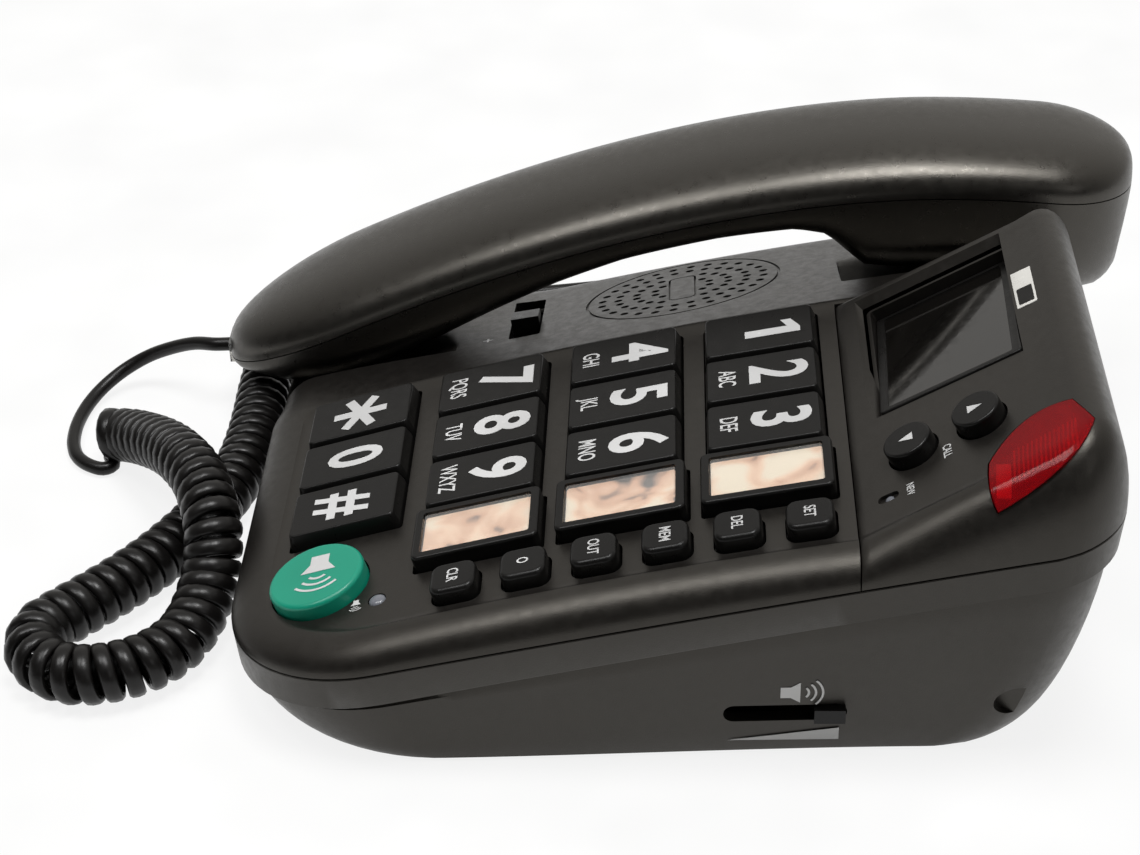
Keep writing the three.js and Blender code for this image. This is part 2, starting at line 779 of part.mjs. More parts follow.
// The main board lies in one plane under the keys
const boardMiddleY = (boardFrontY + boardBackY) / 2;
const boardSlope = Math.atan((keyTop(boardBackY) - keyTop(boardFrontY)) / (boardBackY - boardFrontY));
const boardMiddleX = (boardLeft + boardRight) / 2;
const boardZ = (keyTop(boardFrontY) + keyTop(boardBackY)) / 2 - boardDrop;
const boardHalfLength = (boardBackY - boardFrontY) / 2 / Math.cos(boardSlope);

function onBoard(geometry, x, along, height = 0) {
  const y = boardMiddleY + along * Math.cos(boardSlope) - height * Math.sin(boardSlope);
  const z = boardZ + along * Math.sin(boardSlope) + height * Math.cos(boardSlope);
  return placed(geometry, x, y, z, boardSlope);
}

function boardUnderside(y) {
  return boardZ + (y - boardMiddleY) * Math.tan(boardSlope) - boardThickness / Math.cos(boardSlope);
}

const boardPosts = [
  [boardLeft + boardPostInset * 2, boardFrontY + boardPostInset * 4], [boardRight - boardPostInset * 3, boardFrontY + boardPostInset * 4],
  [boardLeft + boardPostInset * 2, boardBackY - boardPostInset * 2], [boardRight - boardPostInset * 3, boardBackY - boardPostInset * 2],
];

function postUnder(x, y, radius, top) {
  const foot = footHeight + wall / 2;
  return placed(disc(radius, 0, top - foot, postSides), x, y, foot);
}

const hookTop = handsetSeam(hookY + hookRadius * 2) - handsetEarDepth - clearance;
const hookFlangeZ = handsetApexZ - handsetEarDepth - wellGap - wall - hookTravel - flangeThickness - clearance * 4;
const lampPostTop = lampZ - lampPostDrop;
const ringerStepZ = seamHeight(halfWidth, ringerSlotY) - bandHeight;
const ringerLean = Math.atan(sideTaper(ringerSlotY) / (ringerStepZ - footHeight));
const ringerSlotX = halfWidth - bandDraft - stepDepth - (ringerStepZ - ringerSlotZ) * Math.tan(ringerLean);

function lowerHousing() {
  const border = borderOf(coverOuter);
  const outerRings = [
    bandRing(border, 0, 0), bandRing(border, bandDraft, 1), ...[0, 0.4, 0.72, 0.92, 1].map((fall) => housingRing(border, fall, 0)),
  ];
  const innerBorder = borderOf(coverInner).map((point) => new THREE.Vector3(point.x, point.y, point.z - seamGap));
  const innerFalls = [0.4, 0.8, 1].map((fall) => housingRing(border, fall, wall));
  const innerRings = [innerBorder, bandRing(border, wall, 1), ...innerFalls];
  let housing = solidOf(bowlGeometry(outerRings, innerRings));
  const posts = boardPosts.map(([x, y]) => postUnder(x, y, postRadius, boardUnderside(y) - clearance - postRadius * Math.tan(boardSlope)));
  screwPlaces.forEach(([, x, y]) => posts.push(postUnder(x, y, screwHeadRadius + wall, screwLength + wall + footHeight)));
  posts.push(postUnder(hookX, hookY, hookRadius + wall, hookFlangeZ - hookTravel));
  posts.push(postUnder(lampPostX, lampPostY, lampPostRadius + wall, lampPostTop - hookLength));
  const lowerShape = wasm.Manifold.hull(outerRings.slice(2).flat().map((point) => [point.x, point.y, point.z]));
  const space = lowerShape.add(solidOf(box(-halfWidth, halfWidth, baseFront, baseBack, overrun / 2, overrun * 2)));
  housing = posts.map(solidOf).reduce((whole, post) => whole.add(post.intersect(space)), housing);
  const cuts = footPlaces.map(([, x, y]) => placed(disc(footRadius + clearance, -overrun, footHeight + footThickness / 2), x, y, 0));
  screwPlaces.forEach(([, x, y]) => {
    cuts.push(placed(disc(screwHeadRadius + clearance, -overrun, screwHoleDepth), x, y, 0));
    cuts.push(placed(disc(screwShankRadius + clearance, 0, screwLength + wall), x, y, 0));
  });
  return cutFrom(housing, [...cuts, ...doorCuts(), ...sideCuts(), ...hookCuts()]);
}

function doorCuts() {
  const left = doorX - doorWidth / 2 - clearance;
  const right = doorX + doorWidth / 2 + clearance;
  const front = doorY - doorLength / 2 - clearance - doorTravel;
  const back = doorY + doorLength / 2 + clearance;
  const recess = box(left, right, front, back, -overrun, footHeight + doorThickness / 2 + clearance);
  const hole = box(left + doorLip, right - doorLip, front + doorLip + doorTravel, back - doorLip, -overrun, footHeight + wall * 2);
  return [recess, hole];
}

function sideCuts() {
  const reach = overrun / 2;
  const slot = box(-wall * 3, wall * 3, -ringerSlotLength / 2, ringerSlotLength / 2, -ringerSlotHeight / 2, ringerSlotHeight / 2);
  const jackHalf = jackWidth / 2 + clearance;
  const jackTall = jackHeight / 2 + clearance;
  const lineJack = box(-jackHalf, jackHalf, -reach, reach, -jackTall, jackTall);
  const cordJack = box(-reach, reach, -jackHalf, jackHalf, -jackTall, jackTall);
  return [
    placed(slot.rotateY(ringerLean), ringerSlotX, ringerSlotY, ringerSlotZ),
    placed(lineJack, lineJackX, baseBack, lineJackZ),
    placed(cordJack, -halfWidth, cordJackY, cordJackZ),
  ];
}

function hookCuts() {
  const lampBore = disc(lampPostRadius + clearance, 0, overrun, smallRoundSteps);
  return [
    placed(disc(hookRadius / 2 + clearance, 0, overrun), hookX, hookY, hookFlangeZ - hookLength),
    placed(lampBore, lampPostX, lampPostY, lampPostTop - hookLength - wall * 2),
  ];
}

// Digit key: a bevelled cap on a straight skirt, held in by a flange at its front and back
function capGeometry(width, length, bevel, top, bottom) {
  const outline = (inset) => [
    [inset - width / 2, inset - length / 2], [width / 2 - inset, inset - length / 2],
    [width / 2 - inset, length / 2 - inset], [inset - width / 2, length / 2 - inset],
  ];
  const rings = [[bevel, top], [0, top - bevel], [0, bottom]];
  const points = rings.flatMap(([inset, z]) => outline(inset).map(([x, y]) => new THREE.Vector3(x, y, z)));
  const index = [0, 1, 2, 0, 2, 3, 8, 10, 9, 8, 11, 10];
  for (let ring = 0; ring < 2; ring += 1) {
    for (let side = 0; side < 4; side += 1) {
      const a = ring * 4 + side;
      const b = ring * 4 + (side + 1) % 4;
      index.push(a + 4, b + 4, b, a + 4, b, a);
    }
  }
  return bufferOf(points, index);
}

const flangeTop = -(keyProud + wall + flangeGap);

function digitKey() {
  const cap = capGeometry(keyPitch - keyGap, keyLength, keyBevel, 0, -keySkirt);
  const half = keyLength / 2 + roundKeyGap + flangeReach;
  const across = keyPitch / 2 - keyGap * 2;
  const flange = box(-across, across, -half, half, flangeTop - flangeThickness, flangeTop);
  return joined([cap, flange]);
}

function photoKey() {
  const cap = capGeometry(photoKeyWidth, photoKeyLength, keyBevel, 0, -keySkirt);
  const half = photoKeyLength / 2 + roundKeyGap + flangeReach / 2;
  const across = photoKeyWidth / 2 - keyGap * 2;
  const flange = box(-across, across, -half, half, flangeTop - flangeThickness, flangeTop);
  const pocket = box(
    photoBorder - photoKeyWidth / 2, photoKeyWidth / 2 - photoBorder,
    photoBorder - photoKeyLength / 2, photoKeyLength / 2 - photoBorder, -photoPocketDepth, overrun,
  );
  return cutFrom(joined([cap, flange]), [pocket]);
}

function photoWindow() {
  const inset = photoBorder + clearance;
  const bottom = clearance - photoPocketDepth;
  return box(
    inset - photoKeyWidth / 2, photoKeyWidth / 2 - inset, inset - photoKeyLength / 2, photoKeyLength / 2 - inset,
    bottom, bottom + photoWindowThickness,
  );
}

function functionKey() {
  const cap = roundedPlate(functionKeyWidth, functionKeyLength, functionKeyCorner, -keySkirt, 0, 2);
  const half = functionKeyLength / 2 + roundKeyGap + flangeReach;
  const across = functionKeyWidth / 2 - functionKeyCorner / 2;
  const flange = box(-across, across, -half, half, flangeTop - flangeThickness, flangeTop);
  return joined([cap, flange]);
}

function roundButton(radius, proud, dome, steps = roundSteps) {
  const deep = -(proud + wall + flangeGap + flangeThickness);
  const reach = radius + roundKeyGap + flangeReach;
  const profile = [
    [0, deep], [reach, deep], [reach, deep + flangeThickness], [radius, deep + flangeThickness],
    [radius, -dome], [radius - dome, 0], [0, 0],
  ];
  const points = profile.map(([across, z]) => new THREE.Vector2(across, z));
  return new THREE.LatheGeometry(points, steps).rotateX(Math.PI / 2);
}

// Slider: a ribbed thumb piece over a stem and a wide plate behind the slot
function slider(length, width, proud, margin, gap) {
  const knob = box(-length / 2, length / 2, -width / 2, width / 2, -wall - gap - sliderPlate, proud);
  const half = length / 2 + margin;
  const side = width / 2 + sliderPlateMargin;
  const plate = box(-half, half, -side, side, -wall - gap - sliderPlate, -wall - gap);
  return joined([knob, plate]);
}

// Handset shells
function handsetGrid(inset, under) {
  const tips = [0, 0, 0.04, 0.14, 0.32, 0.6, 1];
  const front = tips.map((share) => share * mouthEndLength + mouthTrim + inset - handsetLength / 2);
  const back = tips.map((share) => handsetLength / 2 - earTrim - inset - share * earEndLength).reverse();
  const underYs = undersideShares.map(([share]) => (share - 0.5) * handsetLength);
  const plainYs = [0.22, 0.32, 0.42, 0.52, 0.62, 0.72, 0.8].map((share) => (share - 0.5) * handsetLength);
  const first = mouthEndLength - handsetLength / 2 + wall * 2;
  const last = handsetLength / 2 - earEndLength - wall * 2;
  const middle = (under ? underYs : plainYs).filter((y) => y > first && y < last);
  const steps = under ? 10 : 8;
  const power = under ? 2.9 : 2.4;
  const rows = [...front, ...middle, ...back];
  return rows.map((y, row) => {
    const seam = handsetSeam(y);
    const ends = row === 0 || row === rows.length - 1 ? 0 : handsetEndShare(y, inset);
    const half = (handsetHalf - inset) * ends;
    const crown = (handsetCrown - inset) * Math.sqrt(ends);
    const depth = Math.max(handsetUnderDepth(y) - inset, inset / 2) * (inset > 0 ? Math.min(ends * 2, 1) : 1);
    const line = [];
    for (let step = 0; step <= steps; step += 1) {
      const angle = Math.PI * (1 - step / steps);
      const across = Math.sign(Math.cos(angle)) * Math.abs(Math.cos(angle)) ** (2 / power);
      const rise = Math.sin(angle) ** (2 / power);
      const x = handsetX + across * half;
      const z = under ? seam - clearance / 2 - depth * rise : seam + clearance / 2 + crown * rise;
      line.push(new THREE.Vector3(x, y, z));
    }
    return under ? line.reverse() : line;
  });
}

const plugZ = handsetSeam(-handsetLength / 2) + clearance / 2;
const plugFront = -handsetLength / 2;

function handsetShell(under) {
  const shell = solidOf(skinGeometry(handsetGrid(0, under), handsetGrid(handsetWall, under)));
  const half = plugWidth / 2 + clearance;
  const tall = plugHeight / 2 + clearance;
  const socket = box(handsetX - half, handsetX + half, plugFront - overrun, plugFront + plugLength + clearance, plugZ - tall, plugZ + tall);
  return cutFrom(shell, [socket]);
}

// Jacks: a block with a pocket for its plug, open towards positive Y before it is turned
function jackGeometry() {
  const block = box(-jackWidth / 2, jackWidth / 2, -jackDepth, 0, -jackHeight / 2, jackHeight / 2);
  const pocket = box(
    jackWall - jackWidth / 2, jackWidth / 2 - jackWall, jackWall - jackDepth, overrun, jackWall - jackHeight / 2, jackHeight / 2 - jackWall,
  );
  return geometryOf(solidOf(block).subtract(solidOf(pocket)));
}

function plugGeometry() {
  return box(-plugWidth / 2, plugWidth / 2, 0, plugLength, -plugHeight / 2, plugHeight / 2);
}

// Curly cord: the lead from the handset, the coil, and the tail to the jack on the left side.
// The routes are hand-placed points along the middle of the cord.
const leadRoute = [
  [-55.5, -110.3, 17.7], [-55.5, -114, 17.6], [-58.5, -119.7, 16], [-61.8, -126.6, 12.6], [-63.6, -133.7, 8.8],
  [-62.1, -139.9, 5.6], [-57.7, -144.6, 3.4], [-52.4, -147.2, 2.3], [-46.2, -148.5, 1.8], [-39.8, -148.6, 1.8],
  [-33.7, -147.7, 1.8], [-28.7, -145.6, 1.8], [-25.3, -142, 1.8], [-24, -138.4, 1.8], [-25.6, -136.4, 1.8],
  [-29.2, -137.8, 1.8],
];
const coilRoute = [
  [-31.1, -138.7, 7], [-29, -132.7, 8.2], [-20.9, -125.6, 12.6], [-11.3, -118.7, 17], [-0.9, -112.6, 20.6],
  [7.5, -108, 21.8], [15.7, -104.7, 21.6], [22.9, -102.6, 20], [28.1, -101.9, 16.8], [32.8, -102.3, 12.8],
  [40.5, -103.9, 9.2], [48.4, -107, 7.4], [54.8, -112.7, 7], [58.5, -119.8, 7], [59.6, -127.7, 7],
  [56.7, -134.8, 7], [50.5, -138.9, 7], [44.1, -138.2, 7], [38.6, -133.5, 7], [33, -128.3, 7],
  [26.8, -123, 7], [19.6, -117.8, 7], [11.3, -112.9, 7], [3, -108.9, 7], [-6.1, -105.5, 7],
  [-16.1, -103.2, 7], [-27.1, -102.1, 7], [-38.4, -101.9, 7], [-50.3, -102.1, 7], [-62, -102, 7],
  [-72.8, -101.9, 7],
];
const tailRoute = [
  [-73, -102.9, 1.8], [-73.8, -106.4, 1.8], [-76.8, -110, 1.8], [-81.6, -110.6, 1.8], [-86.4, -107.6, 1.8],
  [-91.6, -99.6, 1.8], [-96.4, -86.4, 1.8], [-100.4, -70.4, 1.8], [-103.2, -54, 1.8], [-104.8, -38, 2.2],
  [-105, -23, 3.6], [-103, -10.4, 6.2], [-98.4, -2.4, 8.8], [-91.2, 0, 9.5], [-87.1, 0, 9.5],
];

function curveThrough(route) {
  return new THREE.CatmullRomCurve3(route.map((point) => new THREE.Vector3(...point)), false, 'centripetal');
}

function sweep(points, across, upward, halfWide, halfHigh, sides) {
  // One tube of sections across the way that it runs, closed at both ends
  const ring = (place) => {
    const line = [];
    for (let side = 0; side < sides; side += 1) {
      const angle = ((side + 0.5) / sides) * Math.PI * 2;
      const offset = across[place].clone().multiplyScalar(halfWide * Math.cos(angle));
      offset.addScaledVector(upward[place], halfHigh * Math.sin(angle));
      line.push(points[place].clone().add(offset));
    }
    return line;
  };
  const vertices = points.flatMap((point, place) => ring(place));
  const index = [];
  for (let place = 0; place < points.length - 1; place += 1) {
    for (let side = 0; side < sides; side += 1) {
      const a = place * sides + side;
      const b = place * sides + (side + 1) % sides;
      index.push(a, a + sides, b + sides, a, b + sides, b);
    }
  }
  const last = (points.length - 1) * sides;
  for (let side = 1; side < sides - 1; side += 1) {
    index.push(0, side, side + 1, last, last + side + 1, last + side);
  }
  return bufferOf(vertices, index);
}

function leadGeometry(route) {
  const curve = curveThrough(route);
  const steps = Math.round(curve.getLength() / (leadWidth * 2));
  const points = curve.getSpacedPoints(steps);
  const up = new THREE.Vector3(0, 0, 1);
  const across = points.map((point, place) => {
    const tangent = curve.getTangentAt(place / steps);
    return new THREE.Vector3().crossVectors(tangent, up).normalize();
  });
  const upward = points.map((point, place) => new THREE.Vector3().crossVectors(across[place], curve.getTangentAt(place / steps)));
  return sweep(points, across, upward, leadWidth / 2, leadWidth / 2, leadSides);
}

function coilGeometry() {
  const curve = curveThrough(coilRoute);
  const steps = curlCount * curlSteps;
  const points = [];
  const across = [];
  const upward = [];
  const up = new THREE.Vector3(0, 0, 1);
  for (let step = 0; step <= steps; step += 1) {
    const share = step / steps;
    const centre = curve.getPointAt(share);
    const tangent = curve.getTangentAt(share);
    const side = new THREE.Vector3().crossVectors(tangent, up).normalize();
    const lift = new THREE.Vector3().crossVectors(side, tangent);
    const angle = -(step / curlSteps + 0.25) * Math.PI * 2;
    const radial = side.clone().multiplyScalar(Math.cos(angle)).addScaledVector(lift, Math.sin(angle));
    points.push(centre.clone().addScaledVector(radial, coilRadius));
    across.push(tangent.clone().negate());
    upward.push(radial);
  }
  const geometry = sweep(points, across, upward, ribbonWidth / 2, ribbonThickness / 2, ribbonSides);
  console.log('least gap of the curly cord to itself, mm:', leastGap(geometry).toFixed(2));
  return geometry;
}

function leastGap(geometry) {
  const position = geometry.getAttribute('position');
  const apart = ribbonSides * (curlSteps / 2 + 1);
  let least = Infinity;
  for (let a = 0; a < position.count; a += 1) {
    for (let b = a + apart; b < position.count; b += 1) {
      const dx = position.getX(a) - position.getX(b);
      const dy = position.getY(a) - position.getY(b);
      const dz = position.getZ(a) - position.getZ(b);
      least = Math.min(least, Math.hypot(dx, dy, dz));
    }
  }
  return least;
}

// Finishes
const finishes = {
  casing: { color: 0x1c1a18, roughness: 0.5, metalness: 0 },
  keys: { color: 0x201e1d, roughness: 0.42, metalness: 0 },
  green: { color: 0x0f9d78, roughness: 0.4, metalness: 0 },
  clear: { color: 0xd9d4cc, roughness: 0.08, metalness: 0 },
  lens: { color: 0xb3121c, roughness: 0.12, metalness: 0 },
  glass: { color: 0x14120f, roughness: 0.06, metalness: 0 },
  rubber: { color: 0x1a1a1a, roughness: 0.85, metalness: 0 },
  board: { color: 0x1f5a33, roughness: 0.5, metalness: 0 },
  steel: { color: 0x9a9a98, roughness: 0.35, metalness: 1 },
  cord: { color: 0x121212, roughness: 0.4, metalness: 0 },
};

const phone = new THREE.Group();

function add(name, geometry, finish, holder = phone) {
  const mesh = new THREE.Mesh(geometry, new THREE.MeshStandardMaterial(finishes[finish]));
  mesh.name = name;
  holder.add(mesh);
  return mesh;
}

// Housings
add('lower_housing', geometryOf(lowerHousing()), 'casing');
add('keypad_cover', geometryOf(keypadCover()), 'casing');
add('display_cover', geometryOf(displayCover()), 'casing');
add('lamp_lens', geometryOf(lampLens()), 'lens');

// Keys, each in the tilted frame of its row
const digitKeyGeometry = geometryOf(digitKey());
keyNames.forEach((names, row) => {
  names.forEach((name, column) => {
    add(name, onKeys(digitKeyGeometry, keyColumnXs[column], keyRowYs[row]), 'keys');
  });
});
const photoKeyGeometry = geometryOf(photoKey());
const photoWindowGeometry = photoWindow();
[1, 2, 3].forEach((row) => {
  add(`photo_key_${row}`, onKeys(photoKeyGeometry, photoKeyX, keyRowYs[row]), 'keys');
  add(`photo_window_${row}`, onKeys(photoWindowGeometry, photoKeyX, keyRowYs[row]), 'clear');
});
const functionKeyGeometry = geometryOf(functionKey());
functionKeyYs.forEach((y, key) => {
  add(`function_key_${key + 1}`, onKeys(functionKeyGeometry, functionKeyX, y), 'keys');
});
const speakerButton = roundButton(speakerButtonRadius, keyProud, keyBevel);
add('speaker_button', onKeys(speakerButton, speakerButtonX, speakerButtonY), 'green');

// Display
const navButton = roundButton(navButtonRadius, navButtonProud, keyBevel / 2, smallRoundSteps);
['nav_button_down', 'nav_button_up'].forEach((name, button) => {
  add(name, onDisplay(navButton, navButtonX, navButtonPlaces[button], navButtonProud), 'keys');
});
const glass = roundedPlate(
  windowWidth - clearance * 2, windowLength - clearance * 2, wellRun, -windowSink - windowThickness, -windowSink, 1,
);
add('display_window', onDisplay(glass, displayPanelMiddle, windowPlace), 'glass');
const moduleTop = -wall - clearance * 2;
const displayModule = box(
  windowLedge / 2 - windowWidth / 2, windowWidth / 2 - windowLedge / 2,
  windowLedge / 2 - windowLength / 2, windowLength / 2 - windowLedge / 2, moduleTop - moduleThickness, moduleTop,
);
add('display_module', onDisplay(displayModule, displayPanelMiddle, windowPlace), 'glass');

// Sliders
const volumeSlider = slider(sliderLength, volumeSlotWidth - sliderGap * 2, sliderProud, sliderStem, sliderGap);
const volumeKnob = geometryOf(volumeSlider).translate(volumeKnobShift, 0, 0);
add('volume_slider', onDeck(volumeKnob, volumeSlotX, volumeSlotY), 'keys');
const ringerKnob = geometryOf(slider(ringerKnobLength, ringerSlotHeight - sliderGap * 2, ringerProud, sliderStem, ringerGap));
ringerKnob.rotateZ(Math.PI / 2).rotateY(Math.PI / 2 + ringerLean);
add('ringer_slider', placed(ringerKnob, ringerSlotX, ringerKnobY, ringerSlotZ), 'keys');

// Inner parts
const board = roundedPlate(boardRight - boardLeft, boardHalfLength * 2, boardCorner, -boardThickness, 0, 2);
add('main_board', onBoard(board, boardMiddleX, 0), 'board');
const mat = roundedPlate(
  boardRight - boardLeft - matMargin * 2, boardHalfLength * 2 - matMargin * 2, boardCorner, clearance, clearance + matThickness, 2,
);
add('key_mat', onBoard(mat, boardMiddleX, 0), 'rubber');
const speakerTop = -wall - clearance;
const loudspeakerProfile = [
  [0, speakerTop - loudspeakerDepth], [loudspeakerRadius / 2, speakerTop - loudspeakerDepth],
  [loudspeakerRadius / 2, speakerTop - loudspeakerDepth / 2], [loudspeakerRadius, speakerTop - loudspeakerDepth / 3],
  [loudspeakerRadius, speakerTop], [0, speakerTop],
].map(([across, z]) => new THREE.Vector2(across, z));
const loudspeaker = new THREE.LatheGeometry(loudspeakerProfile, roundSteps).rotateX(Math.PI / 2);
add('loudspeaker', onDeck(loudspeaker, grilleX, grilleY, -clearance), 'steel');
const plunger = joined([
  disc(hookRadius, hookFlangeZ + hookTravel, hookTop), disc(hookRadius + wall / 2, hookFlangeZ, hookFlangeZ + flangeThickness),
  disc(hookRadius, hookFlangeZ, hookTop), disc(hookRadius / 2, hookFlangeZ - hookTravel * 2, hookFlangeZ + wall),
]);
add('hook_plunger', placed(geometryOf(plunger), hookX, hookY, 0), 'keys');
const lampPost = disc(lampPostRadius, lampPostTop - hookLength - wall, lampPostTop);
add('lamp_post', placed(lampPost, lampPostX, lampPostY, 0), 'clear');

// Underside
footPlaces.forEach(([name, x, y]) => {
  add(name, placed(disc(footRadius, 0, footThickness), x, y, 0), 'rubber');
});
const screw = geometryOf(joined([
  disc(screwHeadRadius, screwHoleDepth - clearance - screwHeadHeight, screwHoleDepth - clearance, postSides),
  disc(screwShankRadius, screwHoleDepth - clearance - screwHeadHeight, screwLength, postSides),
]));
screwPlaces.forEach(([name, x, y]) => add(name, placed(screw, x, y, 0), 'steel'));
const doorTop = footHeight + doorThickness / 2;
add('battery_door', box(
  doorX - doorWidth / 2, doorX + doorWidth / 2, doorY - doorLength / 2, doorY + doorLength / 2, doorTop - doorThickness / 2, doorTop,
), 'casing');

// Handset
add('handset_outer_shell', geometryOf(handsetShell(false)), 'casing');
add('handset_inner_shell', geometryOf(handsetShell(true)), 'casing');
const earpieceZ = handsetApexZ - handsetEarDepth + handsetWall * 1.9;
const earpiece = disc(handsetHalf / 2, 0, handsetWall * 3, roundSteps);
add('earpiece', placed(earpiece, handsetX, hookY, earpieceZ), 'steel');
const microphoneY = -handsetLength * 0.36;
const microphoneZ = handsetSeam(microphoneY) - handsetUnderDepth(microphoneY) + handsetWall * 1.95;
add('microphone', placed(disc(handsetWall * 2.2, 0, handsetWall * 2), handsetX, microphoneY, microphoneZ), 'steel');

// Jacks, plugs and cord
add('line_jack', placed(jackGeometry(), lineJackX, baseBack - stepDepth * 2, lineJackZ), 'casing');
const cordJackFace = wall - halfWidth;
add('cord_jack', placed(jackGeometry().rotateZ(Math.PI / 2), cordJackFace, cordJackY, cordJackZ), 'casing');
add('handset_plug', placed(plugGeometry(), handsetX, plugFront, plugZ), 'clear');
add('base_plug', placed(plugGeometry().rotateZ(-Math.PI / 2), cordJackFace - wall * 3, cordJackY, cordJackZ), 'clear');
add('cord_lead', leadGeometry(leadRoute), 'cord');
add('cord_coil', coilGeometry(), 'cord');
add('cord_tail', leadGeometry(tailRoute), 'cord');

export default phone;
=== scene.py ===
from math import atan, copysign, cos, dist, hypot, inf, pi, radians, sin, sqrt, tan, tau

import bmesh
import bpy
from mathutils import Matrix, Vector


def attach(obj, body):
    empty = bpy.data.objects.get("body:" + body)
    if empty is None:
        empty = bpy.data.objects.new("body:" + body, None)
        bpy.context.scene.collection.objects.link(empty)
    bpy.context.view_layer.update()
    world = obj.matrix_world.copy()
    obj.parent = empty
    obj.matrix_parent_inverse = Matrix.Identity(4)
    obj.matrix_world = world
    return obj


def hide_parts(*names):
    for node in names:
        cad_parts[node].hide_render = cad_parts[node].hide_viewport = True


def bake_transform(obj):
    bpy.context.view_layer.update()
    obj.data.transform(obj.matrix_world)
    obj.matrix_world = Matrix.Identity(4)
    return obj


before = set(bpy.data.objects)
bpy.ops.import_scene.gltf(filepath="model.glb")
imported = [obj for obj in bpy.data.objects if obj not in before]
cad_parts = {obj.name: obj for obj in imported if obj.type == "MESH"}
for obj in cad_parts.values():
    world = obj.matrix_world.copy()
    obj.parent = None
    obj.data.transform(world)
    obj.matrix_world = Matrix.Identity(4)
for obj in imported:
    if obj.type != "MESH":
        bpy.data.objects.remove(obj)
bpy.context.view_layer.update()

# Sizes of the telephone, in millimetres, as the CAD has them
MM = 0.001
HALF_WIDTH = 82
BASE_FRONT = -94.5
BASE_BACK = 89.5
FRONT_CORNER, REAR_CORNER = 34, 16
WALL = 2.4
CLEARANCE = 0.3
SEAM_GAP = 0.4
KEY_TOP_FRONT, KEY_TOP_HINGE, KEY_TOP_BULGE = 24.4, 56.7, 2.45
KEY_PROUD = 3
SEAM_FRONT, SEAM_REAR, SEAM_BULGE = 17.8, 58.5, 1
SHOULDER = 8.5
DISPLAY_DEPTH = 52.8
DISPLAY_SHOULDER = 11.5
DISPLAY_TILT = radians(29.8)
CREASE_X = -16.5
DECK_SLOPE = 0.315
DECK_FRONT_SHARE = 0.2
DECK_RAMP_END = -26.5
FRONT_NOTCH, REAR_NOTCH, NOTCH_WIDTH = 6, 12.5, 14.5
MOUTH_END, EAR_START = -52, 40
WELL_RUN, WELL_GAP = 0.6, 0.5
PANEL_DIP = 0.7
HANDSET_X, HANDSET_HALF, HANDSET_END = -55.5, 21.5, 110
HANDSET_APEX_Y, HANDSET_APEX_Z = 60, 69.8
HANDSET_CROWN, HANDSET_DEPTH = 9.2, 24.8
HANDSET_REAR_FALL, HANDSET_FRONT_FALL, FRONT_FALL_POWER = 4.3, 52.3, 1.8
MOUTH_ROUND, EAR_ROUND, MOUTH_TRIM, EAR_TRIM, BLUNT = 33, 20, 0.5, 2.3, 0.12
WELL_LEFT = HANDSET_X - HANDSET_HALF - 1.3
WELL_RIGHT = HANDSET_X + HANDSET_HALF + 1.3
BAND, BAND_DRAFT, STEP = 8.3, 0.8, 1.2
FOOT = 1
FRONT_ROUNDING, REAR_ROUNDING, SIDE_ROUNDING, CORNER_GROWTH = 7, 15.4, 0.4, 3.2
ROUNDING_POWER = 1.52
MIDDLE_Y = (BASE_FRONT + BASE_BACK) / 2
HALF_DEPTH = (BASE_BACK - BASE_FRONT) / 2
HINGE_Y = BASE_BACK - DISPLAY_DEPTH
HINGE_Z = KEY_TOP_HINGE - KEY_PROUD
KEY_ROWS = [-71.3 + 30.2 * row for row in range(4)]
KEY_COLUMNS = [13.5 + 17.65 * column for column in (-1, 0, 1)]
PHOTO_X = 48.8
FUNCTION_X = 65.7
FUNCTION_YS = [-44.9 + 14.44 * key for key in range(6)]
UNDERSIDE = [
    (0.002, 0), (0.016, 0.14), (0.046, 0.31), (0.07, 0.46), (0.1, 0.58), (0.136, 0.67), (0.186, 0.72),
    (0.227, 0.69), (0.27, 0.62), (0.32, 0.53), (0.38, 0.43), (0.45, 0.35), (0.55, 0.34), (0.63, 0.38),
    (0.664, 0.5), (0.688, 0.76), (0.705, 0.93), (0.74, 0.99), (0.82, 1), (0.86, 1.03), (0.891, 1.08),
    (0.93, 1.19), (0.958, 1.14), (0.975, 1), (0.99, 0),
]


def shift(x, y, z=0):
    return Matrix.Translation(Vector((x, y, z)) * MM)


def in_scene(name, data):
    thing = bpy.data.objects.new(name, data)
    bpy.context.scene.collection.objects.link(thing)
    return thing


def axes_matrix(across, along, normal, place):
    """The matrix of three axes at a place in metres."""
    return Matrix([*zip(across, along, normal, place), (0, 0, 0, 1)])


# Camera at the photograph's viewing angle
CAMERA_PLACE, CAMERA_TURN, CAMERA_LENS = (0.46264, 0.00018, 0.34741), (-0.05037, 0.60044, -0.03), 77.98


def make_camera():
    yaw, pitch, roll = CAMERA_TURN
    forward = Vector((-cos(yaw) * cos(pitch), sin(yaw) * cos(pitch), -sin(pitch)))
    level = forward.cross(Vector((0, 0, 1))).normalized()
    upright = level.cross(forward)
    right = cos(roll) * level + sin(roll) * upright
    up = cos(roll) * upright - sin(roll) * level
    data = bpy.data.cameras.new("camera")
    data.sensor_width = 36
    data.lens = CAMERA_LENS
    data.clip_end = 20
    camera = in_scene("camera", data)
    camera.matrix_world = axes_matrix(right, up, -forward, CAMERA_PLACE)
    bpy.context.scene.camera = camera


make_camera()
bpy.context.scene.view_settings.view_transform = "Standard"


# Node materials. Every finish is worked out from the place on the part.
def fill(tree, node, values):
    """Set a node's inputs, or link those that are given the output of another node."""
    for key, value in values.items():
        if isinstance(value, bpy.types.NodeSocket):
            tree.links.new(value, node.inputs[key])
        else:
            node.inputs[key].default_value = value


